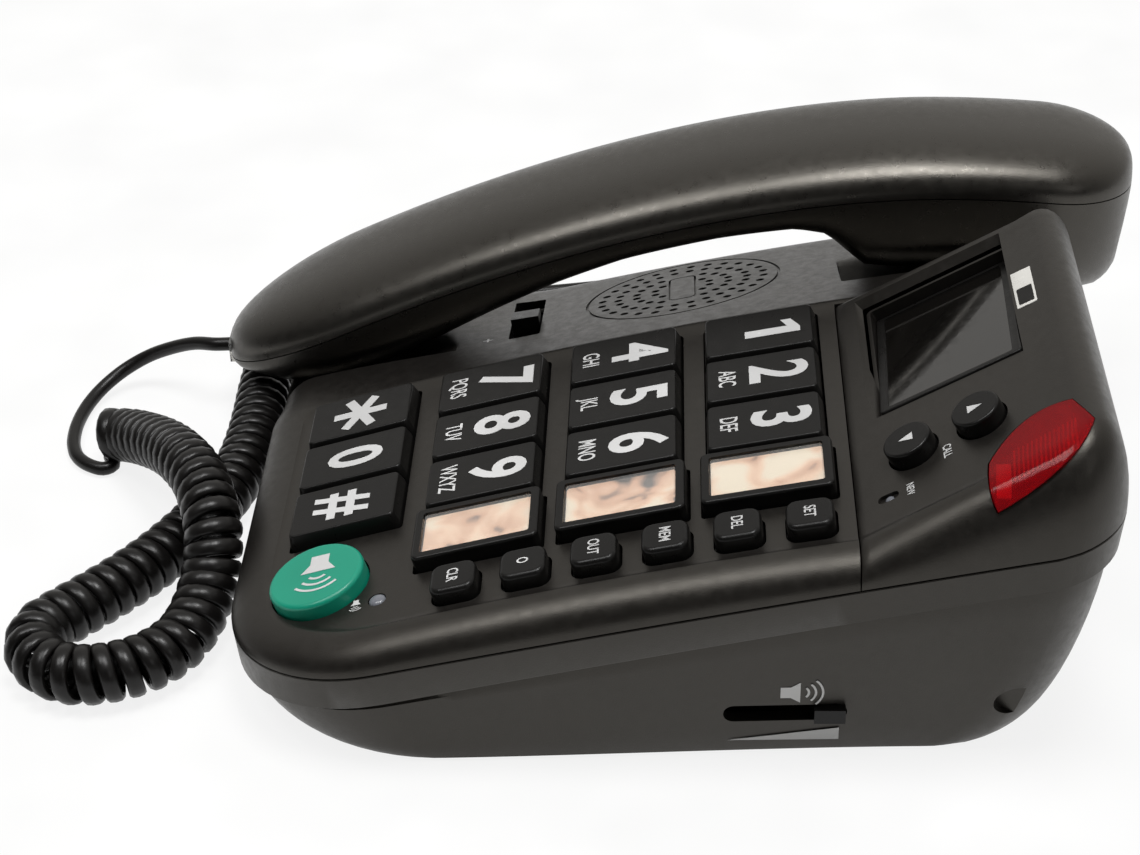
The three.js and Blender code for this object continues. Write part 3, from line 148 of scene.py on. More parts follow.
def add_node(tree, kind, values, **settings):
    node = tree.nodes.new(kind)
    for key, value in settings.items():
        setattr(node, key, value)
    fill(tree, node, values)
    return node.outputs


def ranged(tree, source, low, high, new_low, new_high):
    values = {"Value": source, "From Min": low, "From Max": high, "To Min": new_low, "To Max": new_high}
    return add_node(tree, "ShaderNodeMapRange", values)["Result"]


def paired(tree, operation, one, other, **settings):
    return add_node(tree, "ShaderNodeMath", {0: one, 1: other}, operation=operation, **settings)["Value"]


def new_material(name):
    material = bpy.data.materials.new(name)
    material.use_nodes = True
    return material, material.node_tree, material.node_tree.nodes["Principled BSDF"]


def moulded_group():
    """Colour shade, roughness and fine height of a spark-textured moulding."""
    tree = bpy.data.node_groups.new("moulded_surface", "ShaderNodeTree")
    socket = tree.interface.new_socket
    for label, kind, value in (
        ("Colour", "Color", (0.03, 0.03, 0.03, 1)), ("Roughness", "Float", 0.4), ("Grain", "Float", 3200),
    ):
        socket(label, in_out="INPUT", socket_type="NodeSocket" + kind).default_value = value
    for label, kind in (("Colour", "Color"), ("Roughness", "Float"), ("Height", "Float")):
        socket(label, in_out="OUTPUT", socket_type="NodeSocket" + kind)
    given, out = tree.nodes.new("NodeGroupInput").outputs, tree.nodes.new("NodeGroupOutput")
    place = add_node(tree, "ShaderNodeTexCoord", {})["Object"]
    fine, broad, dust = [
        add_node(tree, "ShaderNodeTexNoise", {"Vector": place, **values})["Fac"] for values in (
            {"Scale": given["Grain"], "Detail": 3, "Roughness": 0.6},
            {"Scale": 24, "Detail": 2},
            {"Scale": 420, "Detail": 4, "Roughness": 0.7},
        )
    ]
    speck = ranged(tree, dust, 0.62, 0.8, 0, 0.16)
    shade = paired(tree, "ADD", ranged(tree, broad, 0.3, 0.7, 0.82, 1.2), speck)
    rough = ranged(tree, dust, 0.35, 0.65, -0.05, 0.05)
    fill(tree, out, {
        "Colour": add_node(
            tree, "ShaderNodeVectorMath", {0: given["Colour"], "Scale": shade}, operation="SCALE",
        )["Vector"],
        "Roughness": paired(tree, "ADD", given["Roughness"], rough, use_clamp=True),
        "Height": fine,
    })
    return tree


MOULDED = moulded_group()


RELIEF = 0.0001


def moulded(name, colour, roughness, grain, bump, **extra):
    material, tree, shader = new_material(name)
    values = {"Colour": (*colour, 1), "Roughness": roughness, "Grain": grain}
    surface = add_node(tree, "ShaderNodeGroup", values, node_tree=MOULDED)
    relief = {"Strength": bump, "Distance": RELIEF, "Height": surface["Height"]}
    fill(tree, shader, {
        "Base Color": surface["Colour"], "Roughness": surface["Roughness"],
        "Normal": add_node(tree, "ShaderNodeBump", relief)["Normal"],
        **{key.replace("_", " "): value for key, value in extra.items()},
    })
    return material


# Finishes: colour, roughness, grain and relief of the surface
WARM = (1, 0.94, 0.84, 1)
CASING = moulded(
    "casing_plastic", (0.0078, 0.007, 0.0064), 0.37, 3000, 0.3,
    Specular_IOR_Level=0.5, Specular_Tint=WARM,
)
HANDSET_FINISH = moulded(
    "handset_plastic", (0.0065, 0.006, 0.0055), 0.32, 3000, 0.25,
    Specular_IOR_Level=0.76, Specular_Tint=WARM,
)
KEYS = moulded("key_plastic", (0.006, 0.0057, 0.0054), 0.32, 4200, 0.12, Specular_IOR_Level=0.2)
GREEN = moulded("green_plastic", (0.005, 0.25, 0.16), 0.34, 4200, 0.05, Specular_IOR_Level=0.4)
PRINT = moulded("white_print", (0.54, 0.54, 0.54), 0.5, 5000, 0.05)
CORD = moulded("cord_plastic", (0.005, 0.0045, 0.0043), 0.34, 1400, 0.12, Specular_IOR_Level=0.3)
RUBBER = moulded("rubber", (0.012, 0.012, 0.012), 0.8, 2600, 0.5)
BOARD = moulded("board", (0.02, 0.12, 0.04), 0.5, 2400, 0.2)
STEEL = moulded("steel", (0.5, 0.5, 0.49), 0.32, 5200, 0.2, Metallic=1)
CLEAR = moulded("clear_plastic", (0.8, 0.8, 0.78), 0.08, 900, 0.02, Transmission_Weight=0.9, IOR=1.49)
COVER = moulded("window_sheet", (0.9, 0.9, 0.88), 0.06, 900, 0.02, Alpha=0.1)
GLASS = moulded("display_glass", (0.004, 0.0036, 0.0032), 0.05, 700, 0.01, Specular_IOR_Level=0.75)
LENS = moulded("red_lens", (0.6, 0.012, 0.02), 0.08, 800, 0.02, Transmission_Weight=0.75, IOR=1.2)
LENS_BACK = moulded("red_lens_back", (0.16, 0.003, 0.005), 0.3, 1800, 0.05)
# Red ribs inside the lens. Their faint red emission is painted light, standing in for light that comes in
# through the lens
LENS_RIB_PAINTED_GLOW = moulded(
    "red_lens_rib_painted_glow", (0.75, 0.05, 0.06), 0.2, 1800, 0.05,
    Emission_Color=(0.8, 0.02, 0.03, 1), Emission_Strength=0.12,
)
# A glowing pale pink block in the lower corner of the lens: a painted highlight, not a lamp part
LENS_PAINTED_HIGHLIGHT = moulded(
    "lens_painted_highlight", (0.9, 0.72, 0.68), 0.15, 1800, 0.05,
    Emission_Color=(0.9, 0.5, 0.45, 1), Emission_Strength=0.25,
)
BADGE = moulded("plain_badge", (0.6, 0.59, 0.56), 0.3, 4000, 0.06)
LED = moulded("led_dome", (0.2, 0.21, 0.24), 0.2, 1800, 0.05, Transmission_Weight=0.3, IOR=1.49)


# Mesh helpers. Points are given in millimetres.
def finish_mesh(bm, name, material, sharp_angle=34):
    bmesh.ops.recalc_face_normals(bm, faces=bm.faces)
    limit = radians(sharp_angle)
    for edge in bm.edges:
        edge.smooth = not (len(edge.link_faces) == 2 and edge.calc_face_angle(0) > limit)
    for face in bm.faces:
        face.smooth = True
    mesh = bpy.data.meshes.new(name)
    bm.to_mesh(mesh)
    bm.free()
    mesh.materials.append(material)
    return in_scene(name, mesh)


def mesh_of(points, faces):
    bm = bmesh.new()
    places = [bm.verts.new(Vector(point) * MM) for point in points]
    for face in faces:
        corners = [places[index] for index in face]
        if len(set(corners)) == len(corners):
            bm.faces.new(corners)
    return bm


def weld(bm, distance=0.00001):
    bmesh.ops.remove_doubles(bm, verts=bm.verts, dist=distance)
    return bm


def grid_faces(rows, columns, offset=0, flip=False):
    faces = []
    for row in range(rows - 1):
        for column in range(columns - 1):
            a = offset + row * columns + column
            corners = [a, a + 1, a + columns + 1, a + columns]
            faces.append(corners[::-1] if flip else corners)
    return faces


def border_sides(rows, columns, offset=0):
    front = [offset + column for column in range(columns)]
    right = [offset + row * columns + columns - 1 for row in range(rows)]
    back = [offset + (rows - 1) * columns + column for column in range(columns)][::-1]
    left = [offset + row * columns for row in range(rows)][::-1]
    return front, right, back, left


def border_of(grid):
    flat = [point for line in grid for point in line]
    return [flat[index] for side in border_sides(len(grid), len(grid[0])) for index in side[:-1]]


def shares_along(side, points):
    shares = [0.0]
    for a, b in zip(side, side[1:]):
        shares.append(shares[-1] + dist(points[a], points[b]))
    return [share / max(shares[-1], 1e-9) for share in shares]


def strip(side, other, points):
    """Triangles between two rows of points that may differ in number."""
    shares, others = shares_along(side, points), shares_along(other, points)
    a, b, faces = 0, 0, []
    while a < len(side) - 1 or b < len(other) - 1:
        ahead = shares[a + 1] if a < len(side) - 1 else inf
        beside = others[b + 1] if b < len(other) - 1 else inf
        if ahead <= beside:
            faces.append([side[a], side[a + 1], other[b]])
            a += 1
        else:
            faces.append([side[a], other[b + 1], other[b]])
            b += 1
    return faces


def skin(outer, inner):
    rows, columns = len(outer), len(outer[0])
    points = [point for line in outer for point in line] + [point for line in inner for point in line]
    offset = rows * columns
    faces = grid_faces(rows, columns) + grid_faces(len(inner), len(inner[0]), offset, True)
    for side, other in zip(border_sides(rows, columns), border_sides(len(inner), len(inner[0]), offset)):
        faces += strip(side, other, points)
    return weld(mesh_of(points, faces))


def stack(rings, cap_start=True, cap_end=True):
    """A closed solid through rings that have the same number of points."""
    count = len(rings[0])
    points = [point for ring in rings for point in ring]
    faces = []
    for ring in range(len(rings) - 1):
        for place in range(count):
            a, b = ring * count + place, ring * count + (place + 1) % count
            faces.append([a, b, b + count, a + count])
    if cap_start:
        faces.append(list(range(count))[::-1])
    if cap_end:
        faces.append([(len(rings) - 1) * count + place for place in range(count)])
    return mesh_of(points, faces)


def quarter(steps):
    """Even angles from zero to a quarter turn."""
    return [pi / 2 * step / steps for step in range(steps + 1)]


def at_height(outline, z):
    return [(x, y, z) for x, y in outline]


def circle(radius, steps):
    angles = [tau * step / steps for step in range(steps)]
    return [(radius * cos(angle), radius * sin(angle)) for angle in angles]


def rounded_outline(width, length, corner, steps=5):
    points = []
    for side, (sx, sy) in enumerate(((1, 1), (-1, 1), (-1, -1), (1, -1))):
        for step in range(steps + 1):
            angle = pi / 2 * (side + step / steps)
            x = sx * (width / 2 - corner) + corner * cos(angle)
            y = sy * (length / 2 - corner) + corner * sin(angle)
            points.append((x, y))
    return points


def block(width, length, corner, bevel, bottom, top, steps=4, corner_steps=5):
    rings = [at_height(rounded_outline(width, length, corner, corner_steps), bottom)]
    for angle in quarter(steps):
        inset = bevel * (1 - cos(angle))
        inner = max(corner - inset, 0.05)
        outline = rounded_outline(width - 2 * inset, length - 2 * inset, inner, corner_steps)
        rings.append(at_height(outline, top - bevel + bevel * sin(angle)))
    return stack(rings)


def cutter(width, length, corner, low, high):
    """A straight block with rounded corners, to cut with."""
    return block(width, length, corner, 0.01, low, high, 1)


def turned(profile, steps=48):
    return stack([at_height(circle(radius, steps), z) for radius, z in profile])


def round_cutter(radius, low, high, steps=48):
    return turned([(radius, low), (radius, high)], steps)


def box_mesh(low, high):
    points = [(x, y, z) for x in (low[0], high[0]) for y in (low[1], high[1]) for z in (low[2], high[2])]
    faces = [(0, 1, 3, 2), (4, 6, 7, 5), (0, 4, 5, 1), (2, 3, 7, 6), (0, 2, 6, 4), (1, 5, 7, 3)]
    return mesh_of(points, faces)


def moved(bm, matrix):
    bmesh.ops.transform(bm, matrix=matrix, verts=bm.verts)
    return bm


def joined(meshes):
    whole = meshes[0]
    for other in meshes[1:]:
        holder = bpy.data.meshes.new("holder")
        other.to_mesh(holder)
        other.free()
        whole.from_mesh(holder)
        bpy.data.meshes.remove(holder)
    return whole


def boolean(bm, tool, operation="DIFFERENCE"):
    """The mesh bm after a cut or another boolean with the closed mesh tool."""
    objects = []
    for source in (bm, tool):
        bmesh.ops.recalc_face_normals(source, faces=source.faces)
        mesh = bpy.data.meshes.new("work")
        source.to_mesh(mesh)
        source.free()
        objects.append(in_scene("work", mesh))
    change = objects[0].modifiers.new("cut", "BOOLEAN")
    change.operation = operation
    change.solver = "EXACT"
    change.object = objects[1]
    result = objects[0].evaluated_get(bpy.context.evaluated_depsgraph_get())
    out = bmesh.new()
    out.from_mesh(result.to_mesh())
    result.to_mesh_clear()
    for thing in objects:
        mesh = thing.data
        bpy.data.objects.remove(thing)
        bpy.data.meshes.remove(mesh)
    return out


def cut_by(bm, *tools):
    for tool in tools:
        bm = boolean(bm, tool)
    return bm


def add_piece(bm, name, material, sharp_angle, body, slot, *nodes, even=False):
    """The mesh as a piece that rides on a body, in the place of the CAD nodes named."""
    piece = finish_mesh(bm, name, material, sharp_angle)
    if even:
        piece.modifiers.new("even_normals", "WEIGHTED_NORMAL").keep_sharp = True
    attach(piece, body)
    if nodes:
        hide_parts(*nodes)
    return piece


# Curved heights, as the CAD works them out
def arc_height(share, start, end, bulge):
    return start + (end - start) * share + bulge * 4 * share * (1 - share)


def key_top(y):
    return arc_height((y - BASE_FRONT) / (HINGE_Y - BASE_FRONT), KEY_TOP_FRONT, KEY_TOP_HINGE, KEY_TOP_BULGE)


def key_slope(y):
    run = HINGE_Y - BASE_FRONT
    share = (y - BASE_FRONT) / run
    return atan((KEY_TOP_HINGE - KEY_TOP_FRONT + KEY_TOP_BULGE * 4 * (1 - 2 * share)) / run)


def smooth(value):
    share = min(max(value, 0), 1)
    return share * share * (3 - 2 * share)


def deck_drop(x, y):
    along = smooth((y - BASE_FRONT) / (DECK_RAMP_END - BASE_FRONT))
    return max(CREASE_X - x, 0) * DECK_SLOPE * (DECK_FRONT_SHARE + (1 - DECK_FRONT_SHARE) * along)


def panel_height(x, y):
    return key_top(y) - KEY_PROUD - deck_drop(x, y)


def seam_height(x, y):
    level = arc_height((y - BASE_FRONT) / (BASE_BACK - BASE_FRONT), SEAM_FRONT, SEAM_REAR, SEAM_BULGE)
    notch = smooth((CREASE_X - x) / NOTCH_WIDTH)
    front = FRONT_NOTCH * smooth((MOUTH_END - y) / (MOUTH_END - BASE_FRONT) * 2)
    rear = REAR_NOTCH * smooth((y - EAR_START) / (BASE_BACK - EAR_START) * 2)
    return level - deck_drop(x, y) - notch * (front + rear)


def corner_at(y):
    return FRONT_CORNER if y < MIDDLE_Y else REAR_CORNER


def edge_distance(x, y, inset):
    radius = corner_at(y) - inset
    across_x = abs(x) - (HALF_WIDTH - inset - radius)
    across_y = abs(y - MIDDLE_Y) - (HALF_DEPTH - inset - radius)
    beyond = hypot(max(across_x, 0), max(across_y, 0))
    return radius - beyond - min(max(across_x, across_y), 0)


def side_at(y, inset):
    radius = corner_at(y) - inset
    beyond = max(abs(y - MIDDLE_Y) - (HALF_DEPTH - inset - radius), 0)
    return HALF_WIDTH - inset - radius + sqrt(max(radius * radius - beyond * beyond, 0))


def rounded_rise(distance, width):
    share = min(max(distance / width, 0), 1)
    return sqrt(1 - (1 - share) ** 2)


def handset_seam(y):
    if y > HANDSET_APEX_Y:
        share = (y - HANDSET_APEX_Y) / (HANDSET_END - HANDSET_APEX_Y)
        return HANDSET_APEX_Z - HANDSET_REAR_FALL * share ** 2
    share = (HANDSET_APEX_Y - y) / (HANDSET_APEX_Y + HANDSET_END)
    return HANDSET_APEX_Z - HANDSET_FRONT_FALL * share ** FRONT_FALL_POWER


def under_depth(y):
    place = min(max(y / (2 * HANDSET_END) + 0.5, 0), 1)
    for (start, low), (end, high) in zip(UNDERSIDE, UNDERSIDE[1:]):
        if place <= end:
            return HANDSET_DEPTH * (low + (high - low) * (place - start) / (end - start))
    return 0


def spread(start, end, step, length=None):
    """Even places from start up to end, which is left out; length sets their number."""
    count = max(int(round((length or abs(end - start)) / step)), 1)
    return [start + (end - start) * place / count for place in range(count)]


def edge_run(width, steps):
    return [width * (1 - cos(angle)) for angle in quarter(steps)]


# Main cover
COVER_LEFT, COVER_LIP = -14.8, 0.9
SHOULDER_RUN = edge_run(SHOULDER, 9) + [SHOULDER + 0.6, SHOULDER + 1.4, SHOULDER + 2.4]
PANEL_SPAN, PANEL_STEP = 84, 1.2


def cover_rows(inset, step):
    front = [BASE_FRONT + inset + distance for distance in SHOULDER_RUN]
    back = [BASE_BACK - inset - distance for distance in SHOULDER_RUN][::-1]
    mouth, ear = MOUTH_END + inset, EAR_START - inset
    rows = front + spread(front[-1] + 1, mouth - 1, step)
    rows += [mouth - 0.8, mouth, mouth + WELL_RUN, mouth + WELL_RUN + 0.8]
    rows += spread(mouth + WELL_RUN + 2, ear - WELL_RUN - 1, step)
    rows += [ear - WELL_RUN - 0.8, ear - WELL_RUN, ear, ear + 0.8]
    return rows + spread(ear + 2, back[0] - 1, step) + back


def cover_columns(y, inset, step):
    side = side_at(y, inset)
    left = [distance - side for distance in SHOULDER_RUN[:6]]
    right = [side - distance for distance in SHOULDER_RUN][::-1]
    low, high = WELL_LEFT - inset, WELL_RIGHT + inset
    fixed = [low, low + WELL_RUN] + spread(WELL_LEFT + 1.8, high - 0.8, step)
    fixed += [high - 0.8, high, high + WELL_RUN, high + WELL_RUN + 0.8]
    fixed += spread(high + 3, CREASE_X - 1, step) + [CREASE_X - 0.7, CREASE_X, CREASE_X + 0.7]
    middle = [max(x, left[-1] + (place + 1) * 0.2) for place, x in enumerate(fixed)]
    return left + middle + spread(middle[-1] + 1, right[0], step * PANEL_STEP, PANEL_SPAN) + right


def well_floor(x, y, inset):
    half = WELL_RUN / 2
    if x > WELL_RIGHT + inset + half or x < WELL_LEFT - inset - half:
        return inf
    if y < MOUTH_END + inset + half:
        under = max(y, BASE_FRONT)
        return handset_seam(under) - under_depth(under) - WELL_GAP - inset
    if y > EAR_START - inset - half:
        return handset_seam(y) - max(under_depth(y), HANDSET_DEPTH) - WELL_GAP - inset
    return inf


def panel_dip(x, y, width):
    """The flat panel lies a little lower than the rounded shoulder round it."""
    distance = edge_distance(x, y, 0)
    return PANEL_DIP * smooth((distance - width + 0.3) / 1.5) * smooth((x - CREASE_X) / 4)


def cover_grid(inset, step, dips):
    rows = cover_rows(inset, step)
    grid = []
    for row, y in enumerate(rows):
        columns = cover_columns(y, inset, step)
        line = []
        for column, x in enumerate(columns):
            seam = seam_height(x, y)
            if row in (0, len(rows) - 1) or column in (0, len(columns) - 1):
                line.append((x, y, seam))
                continue
            rise = rounded_rise(edge_distance(x, y, inset), SHOULDER)
            dip = panel_dip(x, y, SHOULDER) if dips else 0
            top = seam + (panel_height(x, y) - inset - seam) * rise - dip
            line.append((x, y, min(top, well_floor(x, y, inset))))
        grid.append(line)
    return grid


def on_keys(x, y, height=0):
    slope = key_slope(y)
    place = shift(x, y - height * sin(slope), key_top(y) + height * cos(slope))
    return place @ Matrix.Rotation(slope, 4, "X")


def on_panel(x, y, height=0):
    return on_keys(x, y, height - KEY_PROUD)


def on_display(x, place, height=0):
    y = HINGE_Y + place * cos(DISPLAY_TILT) - height * sin(DISPLAY_TILT)
    z = HINGE_Z + place * sin(DISPLAY_TILT) + height * cos(DISPLAY_TILT)
    return shift(x, y, z) @ Matrix.Rotation(DISPLAY_TILT, 4, "X")


def on_deck(x, y):
    rise_x = (panel_height(x + WALL, y) - panel_height(x - WALL, y)) / (WALL * 2)
    rise_y = (panel_height(x, y + WALL) - panel_height(x, y - WALL)) / (WALL * 2)
    normal = Vector((-rise_x, -rise_y, 1)).normalized()
    across = Vector((1, 0, rise_x)).normalized()
    return axes_matrix(across, normal.cross(across), normal, Vector((x, y, panel_height(x, y))) * MM)


# Openings of the panel: width, length and corner
KEY_BAY, PHOTO_BAY, FUNCTION_BAY = (52.95, 26.2, 0.9), (18.4, 28.6, 0.9), (10.3, 10.7, 2.7)
DEEP = 40
SPEAKER_PLACE, SPEAKER_LAMP_PLACE = (54.7, -74.9), (63.7, -61.9)
SPEAKER_HOLE, SPEAKER_LAMP_HOLE = 11, 2
SLOT_PLACE, HOOK_Y = (-50, -35.2), 66


def key_openings():
    cuts = [moved(cutter(*KEY_BAY, -DEEP, DEEP), on_keys(KEY_COLUMNS[1], y)) for y in KEY_ROWS]
    cuts += [moved(cutter(*FUNCTION_BAY, -DEEP, DEEP), on_keys(FUNCTION_X, y)) for y in FUNCTION_YS]
    cuts.append(moved(round_cutter(SPEAKER_HOLE, -DEEP, DEEP), on_keys(*SPEAKER_PLACE)))
    cuts.append(moved(round_cutter(SPEAKER_LAMP_HOLE, -4, DEEP, 24), on_panel(*SPEAKER_LAMP_PLACE)))
    photo_cuts = [moved(cutter(*PHOTO_BAY, -DEEP, DEEP), on_keys(PHOTO_X, y)) for y in KEY_ROWS[1:]]
    return joined(cuts), joined(photo_cuts)


# Loudspeaker grille: rings of holes round a plain middle field, as radius and number
GRILLE = Vector((-50.9, 2.6))
GRILLE_RINGS = ((6.9, 12), (11.4, 20), (15.9, 26), (20, 28))
GRILLE_HOLE, FIELD_X, FIELD_Y = 1.05, 11.6, 4.1
GROOVE_DEPTH = 0.7


def grille_holes():
    holes = []
    for radius, count in GRILLE_RINGS:
        for step in range(count):
            angle = tau * (step + 0.5) / count
            x, y = radius * cos(angle), radius * sin(angle)
            if abs(x) >= FIELD_X or abs(y) >= FIELD_Y:
                holes.append(moved(round_cutter(GRILLE_HOLE, -4.5, 3, 10), on_deck(*GRILLE) @ shift(x, y)))
    return joined(holes)


def groove_cut(outer, inner):
    """A cut for the groove between two outlines on the deck round the grille."""
    rings = [at_height(outline, z) for outline, z in ((outer, -GROOVE_DEPTH), (outer, 3), (inner, 3))]
    rings += [at_height(inner, -GROOVE_DEPTH), rings[0]]
    return moved(weld(stack(rings, False, False)), on_deck(*GRILLE))


def make_keypad_cover():
    grooves = [
        groove_cut(circle(24, 72), circle(23.3, 72)),
        groove_cut(rounded_outline(21.6, 6.8, 1.8), rounded_outline(20.6, 5.8, 1.4)),
    ]
    behind = box_mesh((COVER_LEFT - CLEARANCE, HINGE_Y, -DEEP), (120, 200, 160))
    slot = moved(cutter(33, 7.6, 0.7, -12, 12), on_deck(*SLOT_PLACE))
    hook = moved(round_cutter(3.7, 20, 90, 32), shift(HANDSET_X, HOOK_Y))
    bm = skin(cover_grid(0, 2.2, True), cover_grid(WALL, 4, False))
    bm = cut_by(bm, behind, *key_openings(), grille_holes(), joined(grooves), slot, hook)
    return add_piece(bm, "keypad_cover_visual", CASING, 30, "base", "casing", "keypad_cover")


# Display cover
def display_top(y, inset):
    return HINGE_Z + (y - HINGE_Y) * tan(DISPLAY_TILT) - inset / cos(DISPLAY_TILT)


def display_grid(inset, step, dips=False):
    rows = [HINGE_Y + CLEARANCE, HINGE_Y + CLEARANCE + 0.5]
    rows += [y for y in cover_rows(inset, step) if y > HINGE_Y + 1.4 + max(inset, 0)]
    left = COVER_LEFT + inset
    grid = []
    for row, y in enumerate(rows):
        width = SHOULDER + (DISPLAY_SHOULDER - SHOULDER) * ((y - HINGE_Y) / DISPLAY_DEPTH)
        last, seam_y = row == len(rows) - 1, min(y, BASE_BACK)

        def height_at(x):
            seam = seam_height(x, seam_y)
            rise = 0 if last else rounded_rise(edge_distance(x, y, inset), width)
            dip = panel_dip(x, y, width) if dips and not last else 0
            soften = 0.35 if row == 0 and dips else 0
            return seam + (display_top(y, inset) - seam) * rise - dip - soften

        seam_left, top = seam_height(left, seam_y), height_at(left + COVER_LIP)
        line = [(left, y, seam_left)]
        for angle in (0, 22, 45, 68):
            turn = radians(angle)
            z = max(top - COVER_LIP * (1 - sin(turn)), seam_left)
            line.append((left + COVER_LIP * (1 - cos(turn)), y, z))
        side = side_at(y, inset)
        run = edge_run(width, 10) + [width + 0.7, width + 1.6, width + 2.6]
        right = [side - distance for distance in run][::-1]
        across = spread(left + COVER_LIP, right[0], step * PANEL_STEP, PANEL_SPAN) + right[:-1]
        line += [(x, y, height_at(x)) for x in across]
        grid.append(line + [(right[-1], y, seam_height(right[-1], seam_y))])
    return grid


# Call lamp
LAMP_LENGTH, LAMP_HEIGHT, LAMP_DEEP = 19.6, 24, 20
LAMP_CURVES = (
    (14, (-0.76, -1), (0.69, -0.23), (1, 0.6)), (1, (1, 0.6), (1, 0.6), (1, 0.6)),
    (14, (0.6, 0.96), (-0.37, 0.79), (-0.96, -0.18)), (6, (-0.96, -0.18), (-1, -0.67), (-0.76, -1)),
)
LAMP_TURN = Matrix.Rotation(-radians(6), 4, "Z") @ Matrix.Rotation(-radians(40), 4, "Y")
LAMP_LIE = shift(69.6, 71, 71.5) @ LAMP_TURN
RIBS, RIB_STEP, RIB_RISE, RIB_WIDTH = 15, 0.82, 0.5, 0.35


def quadratic(start, bend, end, steps):
    points = []
    for step in range(steps):
        t = step / steps
        early, middle, late = (1 - t) ** 2, 2 * t * (1 - t), t * t
        points.append(tuple(early * a + middle * b + late * c for a, b, c in zip(start, bend, end)))
    return points


def lamp_outline(grow):
    right, top = LAMP_LENGTH / 2 + grow, LAMP_HEIGHT / 2 + grow
    points = []
    for steps, *corners in LAMP_CURVES:
        points += quadratic(*[(x * right, y * top) for x, y in corners], steps)
    return points


def lamp_prism(grow):
    rings = [[(depth, x, y) for x, y in lamp_outline(grow)] for depth in (-LAMP_DEEP, LAMP_DEEP)]
    return moved(stack(rings), LAMP_LIE)


def lamp_layer(name, material, outer, inner, step, tool, *nodes):
    """What a tool takes out of the skin between two insets of the cover."""
    bm = skin(display_grid(outer, step), display_grid(inner, step))
    return add_piece(boolean(bm, tool, "INTERSECT"), name, material, 30, "base", "lens", *nodes)


def make_lamp():
    lamp_layer("lamp_lens_visual", LENS, -0.5, 1.8, 1.2, lamp_prism(0), "lamp_lens")
    lamp_layer("lamp_back", LENS_BACK, 4.6, 5.4, 2.2, lamp_prism(-0.2))
    bars = []
    for bar in range(RIBS):
        x, z = bar * RIB_STEP - 4.4, bar * RIB_RISE - 5.6
        bars.append(box_mesh((-LAMP_DEEP, x, z), (LAMP_DEEP, x + RIB_WIDTH, z + 6)))
    lamp_layer("lamp_ribs", LENS_RIB_PAINTED_GLOW, 2.6, 3.8, 2.2, moved(joined(bars), LAMP_LIE))
    # Painted highlight: a glowing block in the lower corner of the lens
    highlight_block = box_mesh((-LAMP_DEEP, -7.6, -9), (LAMP_DEEP, -4.9, -2.6))
    lamp_layer("lamp_painted_highlight", LENS_PAINTED_HIGHLIGHT, 2.2, 4.2, 2.2, moved(highlight_block, LAMP_LIE))


# Display and the round buttons beside it
NAV_X, NAV_PLACES, NAV_HOLE = 52, (13.6, 28.8), 5.65
STATUS_PLACE = (63.4, 7)
WINDOW_LEAN = radians(6.2)
WINDOW_X, WINDOW_Y, WINDOW_DEPTH = 13.1, 23.2, -3.5


def make_display_cover():
    top_outline = [(-11.8, 5.2), (35.2, 5.2), (35.2, 40.2), (-11.8, 40.2)]
    low_outline = [(-8.4, 7.4), (34.9, 7.4), (34.9, 40), (-8.4, 40)]
    slant = [(x + (x - lx) * 0.6, y + (y - ly) * 0.6) for (x, y), (lx, ly) in zip(top_outline, low_outline)]
    low = [(x, y, (x - WINDOW_X) * tan(WINDOW_LEAN) + WINDOW_DEPTH) for x, y in low_outline]
    cuts = [moved(cutter(40, 27.2, 0.6, -20, 6), on_display(13.2, 22.6))]
    cuts += [moved(round_cutter(NAV_HOLE, -14, 20), on_display(NAV_X, place)) for place in NAV_PLACES]
    cuts.append(moved(cutter(2.4, 4.6, 1.1, -1.4, 6), on_display(*STATUS_PLACE)))
    bm = skin(display_grid(0, 2.2, True), display_grid(WALL, 4))
    funnel = moved(stack([low, at_height(slant, 1.02)]), on_display(0, 0))
    bm = cut_by(bm, funnel, joined(cuts), lamp_prism(0.25))
    return add_piece(bm, "display_cover_visual", CASING, 30, "base", "casing", "display_cover")


# Lower housing
def ring_point(point, side, front, back, growth):
    corner = corner_at(point[1])
    radius = corner + growth
    old_x = HALF_WIDTH - corner
    old_front, old_back = BASE_FRONT + FRONT_CORNER, BASE_BACK - REAR_CORNER
    new_x = HALF_WIDTH - side - radius
    new_front, new_back = BASE_FRONT + front + FRONT_CORNER + growth, BASE_BACK - back - REAR_CORNER - growth
    along = min(max((point[1] - old_front) / (old_back - old_front), 0), 1)
    beyond_x = max(abs(point[0]) - old_x, 0) / corner
    beyond_front = max(old_front - point[1], 0) / corner
    beyond_back = max(point[1] - old_back, 0) / corner
    x = copysign(min(abs(point[0] / old_x), 1) * new_x + beyond_x * radius, point[0])
    return x, new_front + (new_back - new_front) * along - beyond_front * radius + beyond_back * radius


def side_taper(y):
    return 0.2 + 4.8 * smooth((y - BASE_FRONT) / (BASE_BACK - BASE_FRONT))


def band_of(point):
    return min(BAND, (point[2] - FOOT) / 2)


def edge_ring(border, inset, growth, share, drop=0):
    """A ring of the band under the seam or of the narrow groove below it."""
    ring = []
    for point in border:
        x, y = ring_point(point, inset, inset, inset, growth)
        ring.append((x, y, point[2] - SEAM_GAP - band_of(point) * share - drop))
    return ring


def housing_ring(border, fall, inset):
    curve = 1 - sqrt(1 - fall ** ROUNDING_POWER)
    base = BAND_DRAFT + STEP + inset
    side = base + SIDE_ROUNDING * max(fall * 5 - 4, 0) ** 2
    ring = []
    for point in border:
        growth = CORNER_GROWTH * curve - inset
        x, y = ring_point(point, side, base + FRONT_ROUNDING * curve, base + REAR_ROUNDING * curve, growth)
        step_z = point[2] - SEAM_GAP - band_of(point)
        bottom = FOOT + inset
        ring.append((x - copysign(side_taper(point[1]) * fall, x), y, step_z + (bottom - step_z) * fall))
    return ring


